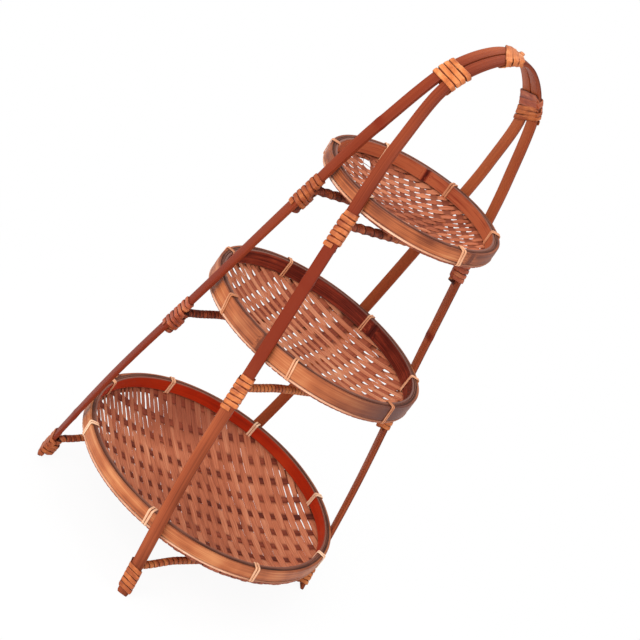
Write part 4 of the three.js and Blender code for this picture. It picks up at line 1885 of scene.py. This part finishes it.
@dataclass
class Studio:
    """Camera, lamps, floor and world round the stand.

    Attributes:
        eye: the camera's place, in metres.
        aim: the point in the middle of its frame, in metres.
        roll: how far the picture is turned, in degrees.
        focal: focal length in pixels of the frame.
        sensor: width of the camera's sensor.
        frame_width: width of the frame, in pixels.
        reach: half the floor's width, in metres.
    """

    eye: tuple[float, float, float] = (-0.9720, -0.7095, 0.7203)
    aim: tuple[float, float, float] = (0.0432, 0.0347, 0.2484)
    roll: float = 36.39
    focal: float = 1360.4
    sensor: float = 36.0
    frame_width: float = 640.0
    reach: float = 4.0

    def camera(self) -> None:
        """Places the camera at the photograph's viewing angle."""
        data = bpy.data.cameras.new("Camera")
        data.sensor_width = self.sensor
        data.sensor_fit = "HORIZONTAL"
        data.lens = self.focal / self.frame_width * self.sensor
        data.clip_end = 50
        forward = (Vector(self.aim) - Vector(self.eye)).normalized()
        right = forward.cross(Vector((0, 0, 1))).normalized()
        above = right.cross(forward)
        cos, sin = math.cos(math.radians(self.roll)), math.sin(math.radians(self.roll))
        turned_right = cos * right + sin * above
        turned_up = -sin * right + cos * above
        camera = bpy.data.objects.new("Camera", data)
        axes = Matrix((turned_right, turned_up, -forward)).transposed().to_4x4()
        axes.translation = Vector(self.eye)
        camera.matrix_world = axes
        bpy.context.scene.collection.objects.link(camera)
        bpy.context.scene.camera = camera

    def lamp(self, name: str, place: tuple[float, float, float], size: float, watts: float) -> None:
        """Adds one square soft lamp that faces the stand.

        Args:
            name: the lamp's name.
            place: where it hangs, in metres.
            size: length of its side, in metres.
            watts: its power.
        """
        data = bpy.data.lights.new(name, "AREA")
        data.size = size
        data.energy = watts
        lamp = bpy.data.objects.new(name, data)
        aim = Vector((0, 0, 0.25)) - Vector(place)
        lamp.rotation_euler = aim.to_track_quat("-Z", "Y").to_euler()
        lamp.location = place
        bpy.context.scene.collection.objects.link(lamp)

    def blend(
        self,
        tree: bpy.types.NodeTree,
        share: bpy.types.NodeSocket,
        first: bpy.types.Node,
        second: bpy.types.Node,
        output: str,
    ) -> None:
        """Ends a node tree with a blend of two shaders.

        Args:
            tree: the node tree.
            share: the second shader's share.
            first: the first shader.
            second: the second shader.
            output: type of the output node.
        """
        inputs = {0: share, 1: first.outputs[0], 2: second.outputs[0]}
        mixed = add_node(tree, "ShaderNodeMixShader", inputs)
        add_node(tree, output, {"Surface": mixed.outputs[0]})

    def floor(self) -> None:
        """Lays a white floor that keeps the stand's soft shadow and has no horizon."""
        mesh = bpy.data.meshes.new("floor")
        signs = (-1, -1), (1, -1), (1, 1), (-1, 1)
        corners = [(x * self.reach, y * self.reach, 0) for x, y in signs]
        mesh.from_pydata(corners, [], [(0, 1, 2, 3)])
        material = bpy.data.materials.new("White floor")
        material.use_nodes = True
        tree = material.node_tree
        tree.nodes.clear()
        paint = add_node(tree, "ShaderNodeBsdfDiffuse", {"Color": linear("f4f4f4")})
        bright = add_node(tree, "ShaderNodeEmission", {"Strength": 1.0})
        solid = add_node(tree, "ShaderNodeTexCoord").outputs["Object"]
        distance = add_node(tree, "ShaderNodeVectorMath", {0: solid}, operation="LENGTH")
        # Near the stand the floor shows some of its shadow; half a metre off it is plain white.
        limits = {"From Min": 0.12, "From Max": 0.5, "To Min": 0.93, "To Max": 1.0}
        inputs = {"Value": distance.outputs["Value"], **limits}
        fade = add_node(tree, "ShaderNodeMapRange", inputs, interpolation_type="SMOOTHSTEP")
        rays = add_node(tree, "ShaderNodeLightPath").outputs
        seen = maths(tree, "MULTIPLY", rays["Is Camera Ray"], fade.outputs[0])
        self.blend(tree, seen, paint, bright, "ShaderNodeOutputMaterial")
        mesh.materials.append(material)
        floor = bpy.data.objects.new("floor", mesh)
        bpy.context.scene.collection.objects.link(floor)

    def world(self) -> None:
        """Sets a white backdrop and the room's soft light."""
        world = bpy.data.worlds.new("Studio")
        world.use_nodes = True
        tree = world.node_tree
        tree.nodes.clear()
        rays = add_node(tree, "ShaderNodeLightPath").outputs
        seen = maths(tree, "MAXIMUM", rays["Is Camera Ray"], rays["Is Transmission Ray"])
        colour = (1, 1, 1, 1)
        soft = add_node(tree, "ShaderNodeBackground", {"Color": colour, "Strength": 0.68})
        white = add_node(tree, "ShaderNodeBackground", {"Color": colour, "Strength": 1.0})
        self.blend(tree, seen, soft, white, "ShaderNodeOutputWorld")
        bpy.context.scene.world = world

    def build(self) -> None:
        """Builds the whole studio."""
        self.camera()
        self.lamp("Key", (-1.5, -0.3, 1.2), size=1.2, watts=24)
        self.lamp("Top", (0.2, 0.2, 2.0), size=1.4, watts=11)
        self.lamp("Side", (0.9, -1.6, 0.9), size=1.2, watts=7)
        self.floor()
        self.world()
        bpy.context.scene.view_settings.view_transform = "Standard"


FINISHES = {
    Slot.HOOP: STAINED_BAMBOO,
    Slot.BAR: WRAPPED_RATTAN,
    Slot.LASHING: GOLDEN_CANE,
    Slot.OUTER_BAND: GOLDEN_BAND,
    Slot.INNER_BAND: RED_BAND,
    Slot.MAT: WOVEN_FINE,
    Slot.FILLER: BROWN_FILLER,
    Slot.REED: PALE_REED,
    Slot.TIE: PALE_CANE,
}
BARS = {
    Tier.lower: {"height": 33.6, "pitch": 5.5, "tone": 0.6, "dip": 5.2, "tail": 23},
    Tier.middle: {"height": 223.7, "pitch": 4.4, "tone": 0.75, "dip": 3.5, "diameter": 7.8},
    Tier.upper: {"height": 386.8, "pitch": 11.5, "tone": 0.45, "dip": 0.0},
}
WINDINGS = {
    Tier.lower: {"above": 0.4, "below": 4.4, "slant": 0.17, "tone": 0.4},
    Tier.middle: {"above": 2.0, "below": 4.2, "slant": -0.2, "tone": 0.5},
    Tier.upper: {"above": 2.0, "below": 4.2, "slant": -0.2, "tone": 0.28},
}
# The hoops: side, name, places of the culm's joints, and the lengths painted darker, on the back
# hoop's left leg as painted shade.
STRIPS = (
    (-1, "front", (330, 930), ((215, 400, 0.95), (400, 640, 0.45), (640, 1400, 0.2))),
    (
        1,
        "back",
        (62, 470, 1010),
        ((-50, 300, 0.9), (300, 560, 0.7), (560, 820, 0.15), (820, 1400, 0.4)),
    ),
)
# The legs' lashings that are as dark as the rubbed cane in the photograph.
DARKENED = (("back", Leg.left, Tier.middle), ("front", Leg.right, Tier.upper))


def build_frame(finishes: dict[Slot, bpy.types.Material], rubbed: bpy.types.Material) -> None:
    """Builds the hoops, the crossbars and all the lashings.

    Args:
        finishes: the finish of each slot.
        rubbed: the finish of the darkened lashings.
    """
    hoops = Hoops()
    golden = finishes[Slot.LASHING]
    for side, title, knuckles, stained in STRIPS:
        hoops.build(f"{title}_hoop", side, finishes[Slot.HOOP], knuckles, stained)
        for tier in Tier:
            bar = Crossbar(hoops, side, **BARS[tier])
            # This one took the dye darker.
            if (title, tier) == ("back", Tier.middle):
                bar.tone = 0.35
            seed = 10 * tier.value + side
            bar.build(f"{title}_{tier.name}_crossbar", finishes[Slot.BAR], seed + 5)
            for leg in Leg:
                lashing = LegLashing(bar, leg, **WINDINGS[tier])
                name = f"{title}_{leg.name}_{tier.name}_lashing"
                finish = rubbed if (title, leg, tier) in DARKENED else golden
                lashing.build(name, finish, 100 + 7 * seed + leg.value)
    left, top, right = (f"handle_{place}_lashing" for place in ("left", "top", "right"))
    lashing = HandleLashing(hoops, centre=-75, turns=4, slant=0.14, width=4.9, pitch=5.4)
    lashing.build(left, left, golden, seed=304)
    lashing = HandleLashing(hoops, centre=-7, turns=3, slant=0.94, width=6.4, pitch=7.4)
    lashing.build(top, top, golden, seed=302, knot=2.2)
    lashing = HandleLashing(hoops, centre=63.5, turns=1.6, slant=0.3, width=8.2, pitch=8.6)
    lashing.build(f"{right}_upper", right, rubbed, seed=305)
    lashing = HandleLashing(hoops, 79, turns=2.6, slant=0.45, width=4.6, pitch=5.4, tone=0.25)
    lashing.build(right, right, golden, seed=306)


def trays() -> tuple[Tray, ...]:
    """The three trays, from the floor up.

    Returns:
        The trays, with bearings of ties, laps, stained patches and painted shade as the photograph
        shows them.
    """
    lower = Tray(
        Tier.lower, diameter=280, outer_band=15, inner_band=14, depth=48,
        ties=(32, 78, 118, 158, 207, 255, 300, 345), trim=2.3, laps=(100, 60),
        tones=(0.5, 0.5, 0.65), tie_width=2.2, sag=2.6, stains_and_shade=((290, 20, 0.3),),
        weave=Weave(
            bearing=69.33, narrow_pitch=5.946, narrow_width=5.75, narrow_phase=6.15,
            broad_pitch=24.43, broad_width=6.8, broad_phase=-18.84,
            bow=-0.00048, fan=-0.00041, sway=0.00092,
            dive=0.65, rise=0.4, ramp=5, flare=0.2,
            slack=0.5, loose=((128, 62, 112), (345, 118, 140)),
            tones=(0, -0.12), shadow=0.55, seed=1,
        ),
    )
    middle = Tray(
        Tier.middle, diameter=228, outer_band=17.6, inner_band=16.4, depth=43,
        ties=(15, 69, 120, 171, 216, 273, 324), trim=1.4, laps=(186, 23),
        tones=(0.46, 0.32, 0.4), tie_width=1.65, sag=0.5,
        stains_and_shade=((275, 30, 0.95), (188, 8, 0.3)),
        weave=Weave(
            bearing=110.07, narrow_pitch=5.675, narrow_width=5.45, narrow_phase=-3.19,
            broad_pitch=25.5, broad_width=11, broad_phase=3.9,
            bow=0.00017, fan=-0.00146, sway=0.00138,
            dive=1.1, rise=0.5, hold=2, ramp=4, flare=0.08, hole=8.5, pinch=(0.2, 0),
            slack=0.2, loose=((95, 20, 110), (330, 40, 110)),
            tones=(0.2, 0.2), shadow=0.15, seed=3,
        ),
    )
    upper = Tray(
        Tier.upper, diameter=179, outer_band=14.4, inner_band=13.6, depth=33, tilt=5.4,
        ties=(19, 70, 130, 195, 261, 324), trim=2.9, laps=(252, 56),
        tones=(0.38, 0.84, 0.5), tie_width=2.1, sag=0.9, stains_and_shade=((288, 20, 0.5),),
        weave=Weave(
            bearing=-24.68, narrow_pitch=6.255, narrow_width=6.2, narrow_phase=0,
            broad_pitch=10.69, broad_width=4.8, broad_phase=17.215,
            bow=-0.0001, fan=0.00037, sway=0.00024,
            dive=0.15, rise=0.35, ramp=2.6, hole=5.345, pinch=(0.3, 0.24),
            slack=0.1, loose=((300, -40, 60),),
            tones=(-0.05, -0.35), shadow=0.35, bed=0.75, seed=5, torn=(83, 76, 8),
        ),
    )
    return lower, middle, upper


def main() -> None:
    """Loads the frame, then builds the stand and its studio."""
    logging.basicConfig(level=logging.INFO, format="%(message)s")
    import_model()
    finishes = {slot: finish.build() for slot, finish in FINISHES.items()}
    rubbed, grained, broad = (one.build() for one in (RUBBED_CANE, GRAINED_BAND, WOVEN_BROAD))
    Studio().build()
    build_frame(finishes, rubbed)
    for tray in trays():
        inner = finishes[Slot.INNER_BAND] if tray.tier is Tier.lower else grained
        tray.build(finishes, inner, finishes[Slot.MAT] if tray.tier is Tier.upper else broad)


if __name__ == "__main__":
    main()
